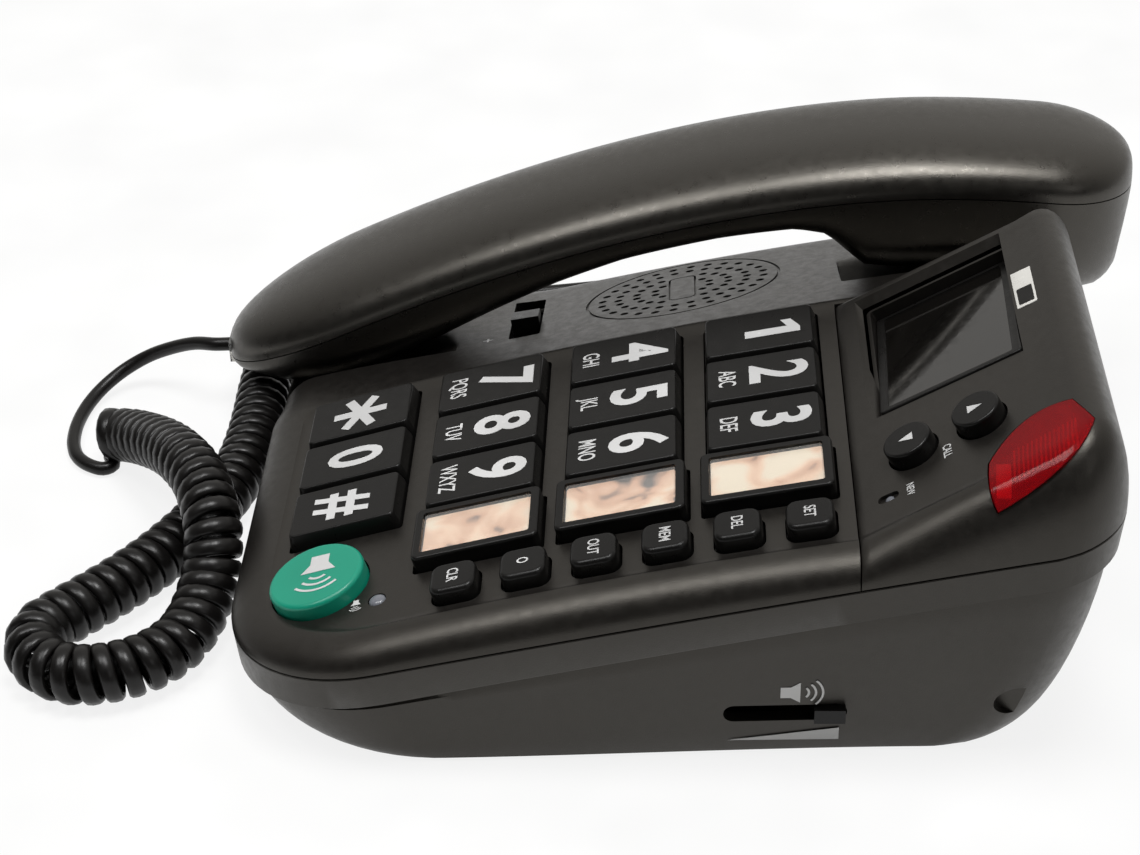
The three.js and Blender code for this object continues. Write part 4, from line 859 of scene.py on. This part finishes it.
RINGER_Y, RINGER_Z = 23.1, 12.4
RINGER_STEP_Z = seam_height(HALF_WIDTH, RINGER_Y) - BAND
RINGER_LEAN = atan(side_taper(RINGER_Y) / (RINGER_STEP_Z - FOOT))
LINE_JACK, CORD_JACK = ((3.4, 70, 24.2), (16.6, 110, 35.8)), ((-100, -6.6, 3.7), (-70, 6.6, 15.3))
DOOR = (-0.3, -33.3, -5), (44.3, 31.3, 2.1)
RECESS_Y, RECESS_Z, RECESS_TURN = 69.5, 14, -0.25


def on_side(y, z):
    """Right side wall: local X runs to the back, local Y up the wall and local Z outwards."""
    up = Vector((sin(RINGER_LEAN), 0, cos(RINGER_LEAN)))
    fall = (RINGER_STEP_Z - z) / (RINGER_STEP_Z - FOOT)
    x = HALF_WIDTH - BAND_DRAFT - STEP - side_taper(y) * fall
    lean = (side_taper(y + 4) - side_taper(y - 4)) / 8 * fall
    along = Vector((-lean, 1, 0)).normalized()
    return axes_matrix(along, up, along.cross(up).normalized(), Vector((x, y, z)) * MM)


def make_lower_housing():
    border = border_of(cover_grid(0, 3, False))
    falls = [0.09, 0.17, 0.25, 0.38, 0.5, 0.6, 0.7, 0.78, 0.84, 0.89, 0.93, 0.96, 0.98, 0.993, 1]
    groove = BAND_DRAFT + STEP + 0.45
    outer = [edge_ring(border, *ring) for ring in (
        (0.12, -0.12, 0), (0, 0, 0.03), (BAND_DRAFT - 0.1, 0.1 - BAND_DRAFT, 0.96),
        (BAND_DRAFT, 0, 1, -0.12), (BAND_DRAFT + 0.35, 0, 1), (groove, 0, 1), (groove, 0, 1, 1),
    )]
    outer += [housing_ring(border, fall, 0) for fall in falls]
    inner = [housing_ring(border, fall, WALL) for fall in (1, 0.8, 0.4, 0)]
    inner.append(edge_ring(border, WALL, -WALL, 0))
    rims = stack([inner[-1], outer[0]], False, False)
    bm = weld(joined([stack(outer, False, True), stack(inner, True, False), rims]))
    slot = moved(cutter(25.4, 4.6, 2.2, -6, 4), on_side(RINGER_Y, RINGER_Z))
    recess_lie = on_side(RECESS_Y, RECESS_Z) @ Matrix.Rotation(RECESS_TURN, 4, "Y")
    recess = moved(round_cutter(4, -2.2, 12, 36), recess_lie)
    below = [box_mesh(*DOOR)]
    for side, y in ((-1, -52), (1, -52), (-1, 48), (1, 48)):
        below.append(moved(round_cutter(3.3, -5, 3.4, 24), shift(side * 48, y)))
        below.append(moved(round_cutter(6.3, -5, 1.85, 32), shift(side * 60, y)))
    bm = cut_by(bm, joined([slot, recess, box_mesh(*LINE_JACK), box_mesh(*CORD_JACK)]), joined(below))
    return add_piece(bm, "lower_housing_visual", CASING, 30, "base", "casing", "lower_housing")


make_keypad_cover()
make_display_cover()
make_lamp()
make_lower_housing()


# Keys. A style of type is its height, its narrowing and its boldness.
KEY_WIDTH, KEY_LENGTH, KEY_CORNER, KEY_DRAFT, KEY_BEVEL = 16.95, 25.2, 1.5, 0.55, 0.55
KEY_BOTTOM, KEY_WAIST, KEY_STEPS = -6.9, -2.6, 4
DIGIT_TYPE, DIGIT_Y = (17.6, 0.84, 0.4), 3.1
LETTER_TYPE, LETTER_Y = (5.4, 0.6, 0.05), -7.6
MARK_TYPE = (3.4, 0.7, 0.04)
KEY_MARKS = [
    [("key_star", "*", ""), ("key_0", "0", ""), ("key_hash", "#", "")],
    [("key_7", "7", "PQRS"), ("key_8", "8", "TUV"), ("key_9", "9", "WXYZ")],
    [("key_4", "4", "GHI"), ("key_5", "5", "JKL"), ("key_6", "6", "MNO")],
    [("key_1", "1", ""), ("key_2", "2", "ABC"), ("key_3", "3", "DEF")],
]
ONE_OUTLINE = [(0.1, -6.2), (2.8, -6.2), (2.8, 6.2), (0.9, 6.2), (-2.6, 4.2), (-2.6, 1.9), (0.1, 3.3)]
STAR_REACH, STAR_HALF, STAR_ARMS = 6.4, 1.15, 6


def key_piece(name, bm, lie, material, slot="keys", body=None, replaced=True):
    nodes = [name] if replaced else []
    return add_piece(moved(bm, lie), name + "_visual", material, 50, body or name, slot, *nodes, even=True)


def key_cap():
    """A cap with straight walls below and drafted walls near its rounded top edge."""
    rings = []
    for z in (KEY_BOTTOM, KEY_WAIST):
        rings.append(at_height(rounded_outline(KEY_WIDTH, KEY_LENGTH, KEY_CORNER, KEY_STEPS), z))
    for angle in quarter(KEY_STEPS):
        inset = KEY_DRAFT + KEY_BEVEL * (1 - cos(angle))
        width, length = KEY_WIDTH - 2 * inset, KEY_LENGTH - 2 * inset
        outline = rounded_outline(width, length, KEY_CORNER - inset / 2, KEY_STEPS)
        rings.append(at_height(outline, KEY_BEVEL * (sin(angle) - 1)))
    return stack(rings)


def print_text(name, text, body, lie, style, y=0, slot="keys"):
    """White printing in the plain font, worked out as a mesh."""
    height, narrow, bold = style
    curve = bpy.data.curves.new(name, "FONT")
    curve.body, curve.size, curve.extrude, curve.offset = text, height * MM, 0.03 * MM, bold * MM
    curve.align_x = curve.align_y = "CENTER"
    curve.resolution_u = 4
    piece = in_scene(name, curve)
    piece.matrix_world = lie @ shift(0, y, 0.04) @ Matrix.Diagonal((narrow, 1, 1, 1))
    curve.materials.append(PRINT)
    bpy.context.view_layer.update()
    solid = bpy.data.meshes.new_from_object(piece.evaluated_get(bpy.context.evaluated_depsgraph_get()))
    solid.transform(piece.matrix_world)
    bpy.data.objects.remove(piece)
    bm = bmesh.new()
    bm.from_mesh(solid)
    bpy.data.meshes.remove(solid)
    bpy.data.curves.remove(curve)
    return add_piece(weld(bm, 0.000001), name, PRINT, 34, body, slot)


def flat_print(name, shapes, body, lie, slot="keys"):
    """White printing from closed outlines, in millimetres."""
    parts = [stack([at_height(outline, z) for z in (0.02, 0.08)]) for outline in shapes]
    return add_piece(moved(joined(parts), lie), name, PRINT, 30, body, slot)


def star_outline():
    points = []
    for arm in range(STAR_ARMS):
        angle = tau * (arm + 0.5) / STAR_ARMS
        forth, across = Vector((cos(angle), sin(angle))), Vector((-sin(angle), cos(angle)))
        points += [tuple(forth * STAR_REACH + across * side) for side in (-STAR_HALF, STAR_HALF)]
        valley, depth = angle + pi / STAR_ARMS, STAR_HALF / sin(pi / STAR_ARMS)
        points.append((depth * cos(valley), depth * sin(valley)))
    return points


for marks, y in zip(KEY_MARKS, KEY_ROWS):
    for (name, digit, letters), x in zip(marks, KEY_COLUMNS):
        lie = on_keys(x, y)
        key_piece(name, key_cap(), lie, KEYS)
        if digit == "*":
            flat_print(name + "_digit", [star_outline()], name, lie)
        elif digit == "1":
            flat_print(name + "_digit", [ONE_OUTLINE], name, lie @ shift(0, DIGIT_Y))
        else:
            print_text(name + "_digit", digit, name, lie, DIGIT_TYPE, 0 if digit in "0#" else DIGIT_Y)
        if letters:
            print_text(name + "_letters", letters, name, lie, LETTER_TYPE, LETTER_Y)


# Picture keys with a plain patterned card behind each window
def card_material():
    material, tree, shader = new_material("picture_card")
    place = add_node(tree, "ShaderNodeTexCoord", {})["Object"]
    pattern = {"Vector": place, "Scale": 95, "Detail": 2, "Roughness": 0.4, "Distortion": 0.6}
    ramp = tree.nodes.new("ShaderNodeValToRGB")
    fill(tree, ramp, {"Fac": add_node(tree, "ShaderNodeTexNoise", pattern)["Fac"]})
    stops = ramp.color_ramp.elements
    stops[0].position, stops[0].color = 0.33, (0.05, 0.032, 0.026, 1)
    stops[1].position, stops[1].color = 0.62, (0.76, 0.66, 0.51, 1)
    for position, colour in ((0.38, (0.6, 0.35, 0.22, 1)), (0.5, (0.76, 0.52, 0.36, 1))):
        stops.new(position).color = colour
    coat = {"Roughness": 0.3, "Coat Weight": 0.5, "Coat Roughness": 0.06}
    fill(tree, shader, {"Base Color": ramp.outputs["Color"], **coat})
    return material


CARD = card_material()
for row in (1, 2, 3):
    name = f"photo_key_{row}"
    lie = on_keys(PHOTO_X, KEY_ROWS[row])
    rim = boolean(block(17.4, 27.6, 1.6, 0.7, KEY_BOTTOM, 0, 4, 4), cutter(13.6, 23.8, 0.7, -1.6, 5))
    key_piece(name, rim, lie, KEYS)
    card = block(13.3, 23.5, 0.6, 0.05, -1.5, -1.3, 1)
    key_piece(f"photo_card_{row}", card, lie, CARD, "clear", name, False)
    window = block(13.4, 23.6, 0.6, 0.2, -1.2, -0.5, 3)
    key_piece(f"photo_window_{row}", window, lie, COVER, "clear", name)

for key, (y, mark) in enumerate(zip(FUNCTION_YS, ("CLR", "O", "OUT", "MEM", "DEL", "SET")), 1):
    name = f"function_key_{key}"
    lie = on_keys(FUNCTION_X, y)
    key_piece(name, block(9.4, 9.8, 2.4, 1.1, KEY_BOTTOM, 0, 4, 3), lie, KEYS)
    print_text(name + "_mark", mark, name, lie, MARK_TYPE)


# Round buttons and the printing on the covers
DIPPED = -PANEL_DIP * cos(DISPLAY_TILT)
HORN = [(-1, -0.42), (-0.42, -0.42), (0.12, -0.8), (0.12, 0.8), (-0.42, 0.42), (-1, 0.42)]
WAVES, WAVE_WIDTH, WAVE_ANGLE, WAVE_X, WAVE_STEPS = (0.5, 0.9, 1.3), 0.13, 0.8, 0.1, 12
ARROW, WEDGE = [(-1.2, -1.5), (1.2, -1.5), (0, 1.7)], [(-11.4, -1.5), (11.4, -1.7), (11.4, 1.7)]
LABEL_BOLD = 0.03


def button_profile(radius, edge, bottom):
    profile = [(radius, bottom), (radius, -edge)]
    for angle in quarter(5)[1:]:
        profile.append((radius - edge * (1 - cos(angle)), -edge * (1 - sin(angle))))
    return profile


def wave_outline(radius):
    outline = []
    for edge, order in ((radius + WAVE_WIDTH / 2, 1), (radius - WAVE_WIDTH / 2, -1)):
        for step in range(WAVE_STEPS + 1):
            angle = order * WAVE_ANGLE * (2 * step / WAVE_STEPS - 1)
            outline.append((WAVE_X + edge * cos(angle), edge * sin(angle)))
    return outline


def speaker_shapes(size):
    shapes = [HORN] + [wave_outline(radius) for radius in WAVES]
    return [[(x * size, y * size) for x, y in shape] for shape in shapes]


speaker_lie = on_keys(*SPEAKER_PLACE)
key_piece("speaker_button", turned(button_profile(10.6, 1.1, -7), 72), speaker_lie, GREEN, "green")
for name, size, body, lie, slot in (
    ("speaker_mark", 4.9, "speaker_button", speaker_lie @ shift(-1.3, 0.6), "keys"),
    ("small_speaker_mark", 1.4, "base", on_panel(63.8, -66.4, 0.1 - PANEL_DIP), "casing"),
    ("ringer_mark", 3.6, "base", on_side(25.6, 18.4), "casing"),
):
    flat_print(name, speaker_shapes(size), body, lie, slot)
flat_print("ringer_wedge", [WEDGE], "base", on_side(22.9, 6.2), "casing")

for place, (name, turn) in zip(NAV_PLACES, (("nav_button_down", pi), ("nav_button_up", 0))):
    lie = on_display(NAV_X, place, 3)
    key_piece(name, turned(button_profile(5.2, 0.6, -6.5), 56), lie, KEYS)
    flat_print(name + "_mark", [ARROW], name, lie @ Matrix.Rotation(turn, 4, "Z"))

for name, text, lie, height, narrow in (
    ("call_label", "CALL", on_display(56.9, 20.6, DIPPED), 2.6, 0.7),
    ("new_label", "NEW", on_display(63.8, 11.8, DIPPED), 2.3, 0.7),
    ("plus_mark", "+", on_deck(-35.7, -44.2), 5, 1),
):
    print_text(name, text, "base", lie, (height, narrow, LABEL_BOLD), slot="casing")
badge_lie = on_display(12.7, 43.1, DIPPED)
badge = moved(block(13.9, 4.7, 0.3, 0.1, -0.05, 0.15, 2), badge_lie)
add_piece(badge, "plain_badge", BADGE, 30, "base", "casing")
inlay = moved(block(6.2, 3.5, 0.3, 0.03, 0.1, 0.19, 1), badge_lie @ shift(3, 0))
add_piece(inlay, "badge_inlay", KEYS, 30, "base", "casing")


def small_lamp(name, radius, lie):
    """A clear dome that stands a little way out of its hole."""
    high = radius * 0.45
    dome = [(radius * cos(turn), high * sin(turn) - 0.2) for turn in quarter(6)[:6]]
    bm = turned([(radius, -3)] + dome + [(0.02, high - 0.2)], 28)
    add_piece(moved(bm, lie), name, LED, 50, "base", "lens")


small_lamp("speaker_lamp", 1.85, on_panel(*SPEAKER_LAMP_PLACE, -PANEL_DIP))
small_lamp("status_lamp", 0.95, on_display(*STATUS_PLACE, -1.1))

# Display window with the module under it, the bezel round it and the walls of its recess
window_lie = on_display(WINDOW_X, WINDOW_Y, WINDOW_DEPTH) @ Matrix.Rotation(-WINDOW_LEAN, 4, "Y")
module = moved(block(41.5, 29, 0.6, 0.1, -3.4, -0.2, 2), window_lie)
add_piece(module, "display_module_visual", GLASS, 40, "base", "display", "display_module")
bezel = boolean(block(43.2, 32.4, 0.9, 0.35, -1.2, 0.95, 3), cutter(40.6, 28.4, 0.6, -3, 3))
add_piece(moved(bezel, window_lie @ shift(0.15, 0.5)), "display_bezel", KEYS, 40, "base", "display")
walls = boolean(block(45.2, 34.6, 1.4, 0.2, -7.4, -2.3, 2), cutter(43.4, 32.7, 0.7, -12, 3))
add_piece(moved(walls, on_display(13.25, 23.7)), "display_recess", CASING, 40, "base", "display")
glass = moved(block(43, 30.6, 0.8, 0.25, -0.1, 0.65, 3), window_lie)
add_piece(glass, "display_window_visual", GLASS, 40, "base", "display", "display_window", even=True)

# Carried-over CAD nodes
CARRIED = {
    "lamp_post": CLEAR, "loudspeaker": STEEL, "main_board": BOARD, "key_mat": RUBBER,
    "line_jack": CASING, "cord_jack": CASING, "battery_door": CASING, "hook_plunger": KEYS,
    "volume_slider": KEYS, "ringer_slider": KEYS, "earpiece": STEEL, "microphone": STEEL,
    "handset_plug": CLEAR, "base_plug": CLEAR,
}
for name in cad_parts:
    if name.startswith("foot_"):
        CARRIED[name] = RUBBER
    if name.startswith("screw_"):
        CARRIED[name] = STEEL
for name, material in CARRIED.items():
    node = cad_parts[name]
    node.data.materials.clear()
    node.data.materials.append(material)


# Handset
HANDSET_STEPS, TOP_POWER, UNDER_POWER, SEAM_HALF = 36, 2.4, 2.9, 0.15
SOCKET_HALF, SOCKET_HIGH = 4.1, 3.1


def handset_grid(inset, under, step):
    run = edge_run(1, 14)
    first, last = MOUTH_TRIM + inset - HANDSET_END, HANDSET_END - EAR_TRIM - inset
    front = [first] + [first + MOUTH_ROUND * share for share in run]
    back = [last - EAR_ROUND * share for share in run][::-1] + [last]
    rows = front + spread(front[-1] + step, back[0], step) + back
    power = UNDER_POWER if under else TOP_POWER
    grid = []
    for row, y in enumerate(rows):
        seam = handset_seam(y)
        fringe = row in (0, len(rows) - 1)
        inward, reach = (y - first, MOUTH_ROUND) if y < 0 else (last - y, EAR_ROUND)
        rise = rounded_rise(inward, reach - inset)
        ends = 0 if fringe else BLUNT + (1 - BLUNT) * rise
        half = (HANDSET_HALF - inset) * ends
        crown = (HANDSET_CROWN - inset) * sqrt(ends)
        depth = 0 if fringe else max(under_depth(y) - inset, inset / 2, 0.3)
        if inset > 0:
            depth *= min(ends * 2, 1)
        line = []
        for place in range(HANDSET_STEPS + 1):
            angle = pi * (1 - place / HANDSET_STEPS)
            cosine, sine = cos(angle), max(sin(angle), 0)
            x = HANDSET_X + copysign(abs(cosine) ** (2 / power), cosine) * half
            rise = sine ** (2 / power)
            z = seam - SEAM_HALF - depth * rise if under else seam + SEAM_HALF + crown * rise
            line.append((x, y, z))
        grid.append(line[::-1] if under else line)
    return grid


PLUG_Z = handset_seam(-HANDSET_END) + SEAM_HALF
for name, under in (("handset_outer_shell", False), ("handset_inner_shell", True)):
    socket = box_mesh(
        (HANDSET_X - SOCKET_HALF, -150, PLUG_Z - SOCKET_HIGH),
        (HANDSET_X + SOCKET_HALF, -97.7, PLUG_Z + SOCKET_HIGH),
    )
    shell = boolean(skin(handset_grid(0, under, 2.5), handset_grid(2.2, under, 5)), socket)
    add_piece(shell, name + "_visual", HANDSET_FINISH, 34, "handset", "casing", name)


# Curly cord: the same routes as the CAD, in tenths of a millimetre
LEAD_ROUTE = [
    (-555, -1103, 177), (-555, -1140, 176), (-585, -1197, 160), (-618, -1266, 126), (-636, -1337, 88),
    (-621, -1399, 56), (-577, -1446, 34), (-524, -1472, 23), (-462, -1485, 18), (-398, -1486, 18),
    (-337, -1477, 18), (-287, -1456, 18), (-253, -1420, 18), (-240, -1384, 18), (-256, -1364, 18),
    (-292, -1378, 18),
]
COIL_ROUTE = [
    (-311, -1387, 70), (-290, -1327, 82), (-209, -1256, 126), (-113, -1187, 170), (-9, -1126, 206),
    (75, -1080, 218), (157, -1047, 216), (229, -1026, 200), (281, -1019, 168), (328, -1023, 128),
    (405, -1039, 92), (484, -1070, 74), (548, -1127, 70), (585, -1198, 70), (596, -1277, 70),
    (567, -1348, 70), (505, -1389, 70), (441, -1382, 70), (386, -1335, 70), (330, -1283, 70),
    (268, -1230, 70), (196, -1178, 70), (113, -1129, 70), (30, -1089, 70), (-61, -1055, 70),
    (-161, -1032, 70), (-271, -1021, 70), (-384, -1019, 70), (-503, -1021, 70), (-620, -1020, 70),
    (-728, -1019, 70),
]
TAIL_ROUTE = [
    (-730, -1029, 18), (-738, -1064, 18), (-768, -1100, 18), (-816, -1106, 18), (-864, -1076, 18),
    (-916, -996, 18), (-964, -864, 18), (-1004, -704, 18), (-1032, -540, 18), (-1048, -380, 22),
    (-1050, -230, 36), (-1030, -104, 62), (-984, -24, 88), (-912, 0, 95), (-871, 0, 95),
]
CURLS, CURL_STEPS, CURVE_STEPS, TUBE_STEPS, TUBE_SIDES = 66, 16, 40, 90, 16
COIL_RADIUS, SQUARENESS = 0.0055, 2.6
RIBBON_WIDTH, RIBBON_THICKNESS, LEAD_WIDTH = 0.0039, 0.0024, 0.0034


def between(one, other, start, end, t):
    return one * ((end - t) / (end - start)) + other * ((t - start) / (end - start))


def curve_points(route, count):
    """Points evenly spaced along a centripetal Catmull-Rom curve through the route."""
    points = [Vector([value / 10000 for value in point]) for point in route]
    points = [2 * points[0] - points[1]] + points + [2 * points[-1] - points[-2]]
    fine = []
    for place in range(1, len(points) - 2):
        p0, p1, p2, p3 = points[place - 1:place + 3]
        t0 = 0
        t1 = t0 + (p1 - p0).length ** 0.5
        t2 = t1 + (p2 - p1).length ** 0.5
        t3 = t2 + (p3 - p2).length ** 0.5
        for step in range(CURVE_STEPS):
            t = t1 + (t2 - t1) * step / CURVE_STEPS
            middle = between(p1, p2, t1, t2, t)
            early = between(between(p0, p1, t0, t1, t), middle, t0, t2, t)
            late = between(middle, between(p2, p3, t2, t3, t), t1, t3, t)
            fine.append(between(early, late, t1, t2, t))
    fine.append(points[-2])
    lengths = [0]
    for a, b in zip(fine, fine[1:]):
        lengths.append(lengths[-1] + (b - a).length)
    out, at = [], 0
    for place in range(count + 1):
        wanted = lengths[-1] * place / count
        while at < len(fine) - 2 and lengths[at + 1] < wanted:
            at += 1
        span = lengths[at + 1] - lengths[at]
        out.append(fine[at].lerp(fine[at + 1], (wanted - lengths[at]) / span if span else 0))
    return out


def tangents(points):
    out = []
    for place in range(len(points)):
        ahead, behind = points[min(place + 1, len(points) - 1)], points[max(place - 1, 0)]
        out.append((ahead - behind).normalized())
    return out


def sweep(points, across, upward, half_wide, half_high, sides, squareness):
    rings = []
    for point, side_way, up_way in zip(points, across, upward):
        ring = []
        for side in range(sides):
            angle = tau * (side + 0.5) / sides
            cosine, sine = cos(angle), sin(angle)
            x = copysign(abs(cosine) ** (2 / squareness), cosine) * half_wide
            y = copysign(abs(sine) ** (2 / squareness), sine) * half_high
            ring.append((point + side_way * x + up_way * y) / MM)
        rings.append(ring)
    return stack(rings)


def plain_tube(route):
    points = curve_points(route, TUBE_STEPS)
    ways = tangents(points)
    across = [way.cross(Vector((0, 0, 1))).normalized() for way in ways]
    upward = [side.cross(way) for side, way in zip(across, ways)]
    return points, sweep(points, across, upward, LEAD_WIDTH / 2, LEAD_WIDTH / 2, TUBE_SIDES, 2)


def make_coil():
    centres = curve_points(COIL_ROUTE, CURLS * CURL_STEPS)
    ways = tangents(centres)
    points, across, upward = [], [], []
    for place, (centre, way) in enumerate(zip(centres, ways)):
        side = way.cross(Vector((0, 0, 1))).normalized()
        lift = side.cross(way)
        angle = -(place / CURL_STEPS + 0.25) * tau
        radial = side * cos(angle) + lift * sin(angle)
        points.append(centre + radial * COIL_RADIUS)
        across.append(-way)
        upward.append(radial)
    return points, sweep(points, across, upward, RIBBON_WIDTH / 2, RIBBON_THICKNESS / 2, 10, SQUARENESS)


coil_path, coil_mesh = make_coil()
coil = add_piece(coil_mesh, "curly_cord", CORD, 60, "base", "cord", "cord_coil")
tail_path, tail_mesh = plain_tube(TAIL_ROUTE)
tail = add_piece(tail_mesh, "cord_to_base", CORD, 60, "base", "cord", "cord_tail")
lead_path, lead_mesh = plain_tube(LEAD_ROUTE)
lead = finish_mesh(lead_mesh, "cord_to_handset", CORD, 60)
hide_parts("cord_lead")
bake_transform(lead)


# Floor, backdrop and soft light
FLOOR_WHITE = 0.85
LIGHTS = [
    ("top_light", (0.08, 0.1, 1.25), (0, 0, 0), 0.4, 10),
    ("front_light", (0.12, -0.5, 1.15), (0, 0, 0), 0.4, 5),
    ("side_light", (1.1, 0.9, 0.9), (0, 0, 0.03), 0.5, 1),
]


def floor_material():
    """White paper: seen or mirrored it is plain white with a faint shadow."""
    material = moulded("floor_paper", (0.8, 0.8, 0.79), 0.9, 300, 0.0)
    tree = material.node_tree
    rays = add_node(tree, "ShaderNodeLightPath", {})
    mirrored = paired(tree, "MAXIMUM", rays["Is Glossy Ray"], rays["Is Transmission Ray"])
    shown = paired(tree, "MAXIMUM", rays["Is Camera Ray"], mirrored)
    mix = add_node(tree, "ShaderNodeMixShader", {
        "Fac": paired(tree, "MULTIPLY", shown, FLOOR_WHITE),
        1: tree.nodes["Principled BSDF"].outputs["BSDF"],
        2: add_node(tree, "ShaderNodeEmission", {"Color": (1, 1, 1, 1), "Strength": 1.0})["Emission"],
    })
    fill(tree, tree.nodes["Material Output"], {"Surface": mix["Shader"]})
    return material


def make_stage():
    bm = mesh_of([(-3000, -3000, 0), (3000, -3000, 0), (3000, 3000, 0), (-3000, 3000, 0)], [(0, 1, 2, 3)])
    floor = finish_mesh(bm, "floor", floor_material())
    world = bpy.data.worlds.new("studio")
    bpy.context.scene.world = world
    world.use_nodes = True
    tree = world.node_tree
    # The backdrop behind the telephone and the ceiling are bright, the room in front of it is dim
    place = add_node(tree, "ShaderNodeTexCoord", {})["Generated"]
    toward = add_node(tree, "ShaderNodeVectorMath", {0: place, 1: (-0.82, 0.3, 0.3)}, operation="DOT_PRODUCT")
    strength = ranged(tree, toward["Value"], -0.2, 0.8, 0.05, 0.68)
    fill(tree, tree.nodes["Background"], {"Strength": strength, "Color": (1, 0.975, 0.93, 1)})
    for name, place, target, size, power in LIGHTS:
        data = bpy.data.lights.new(name, "AREA")
        data.size = size
        data.energy = power
        lamp = in_scene(name, data)
        way = Vector(target) - Vector(place)
        lamp.matrix_world = Matrix.Translation(place) @ way.to_track_quat("-Z", "Y").to_matrix().to_4x4()


make_stage()
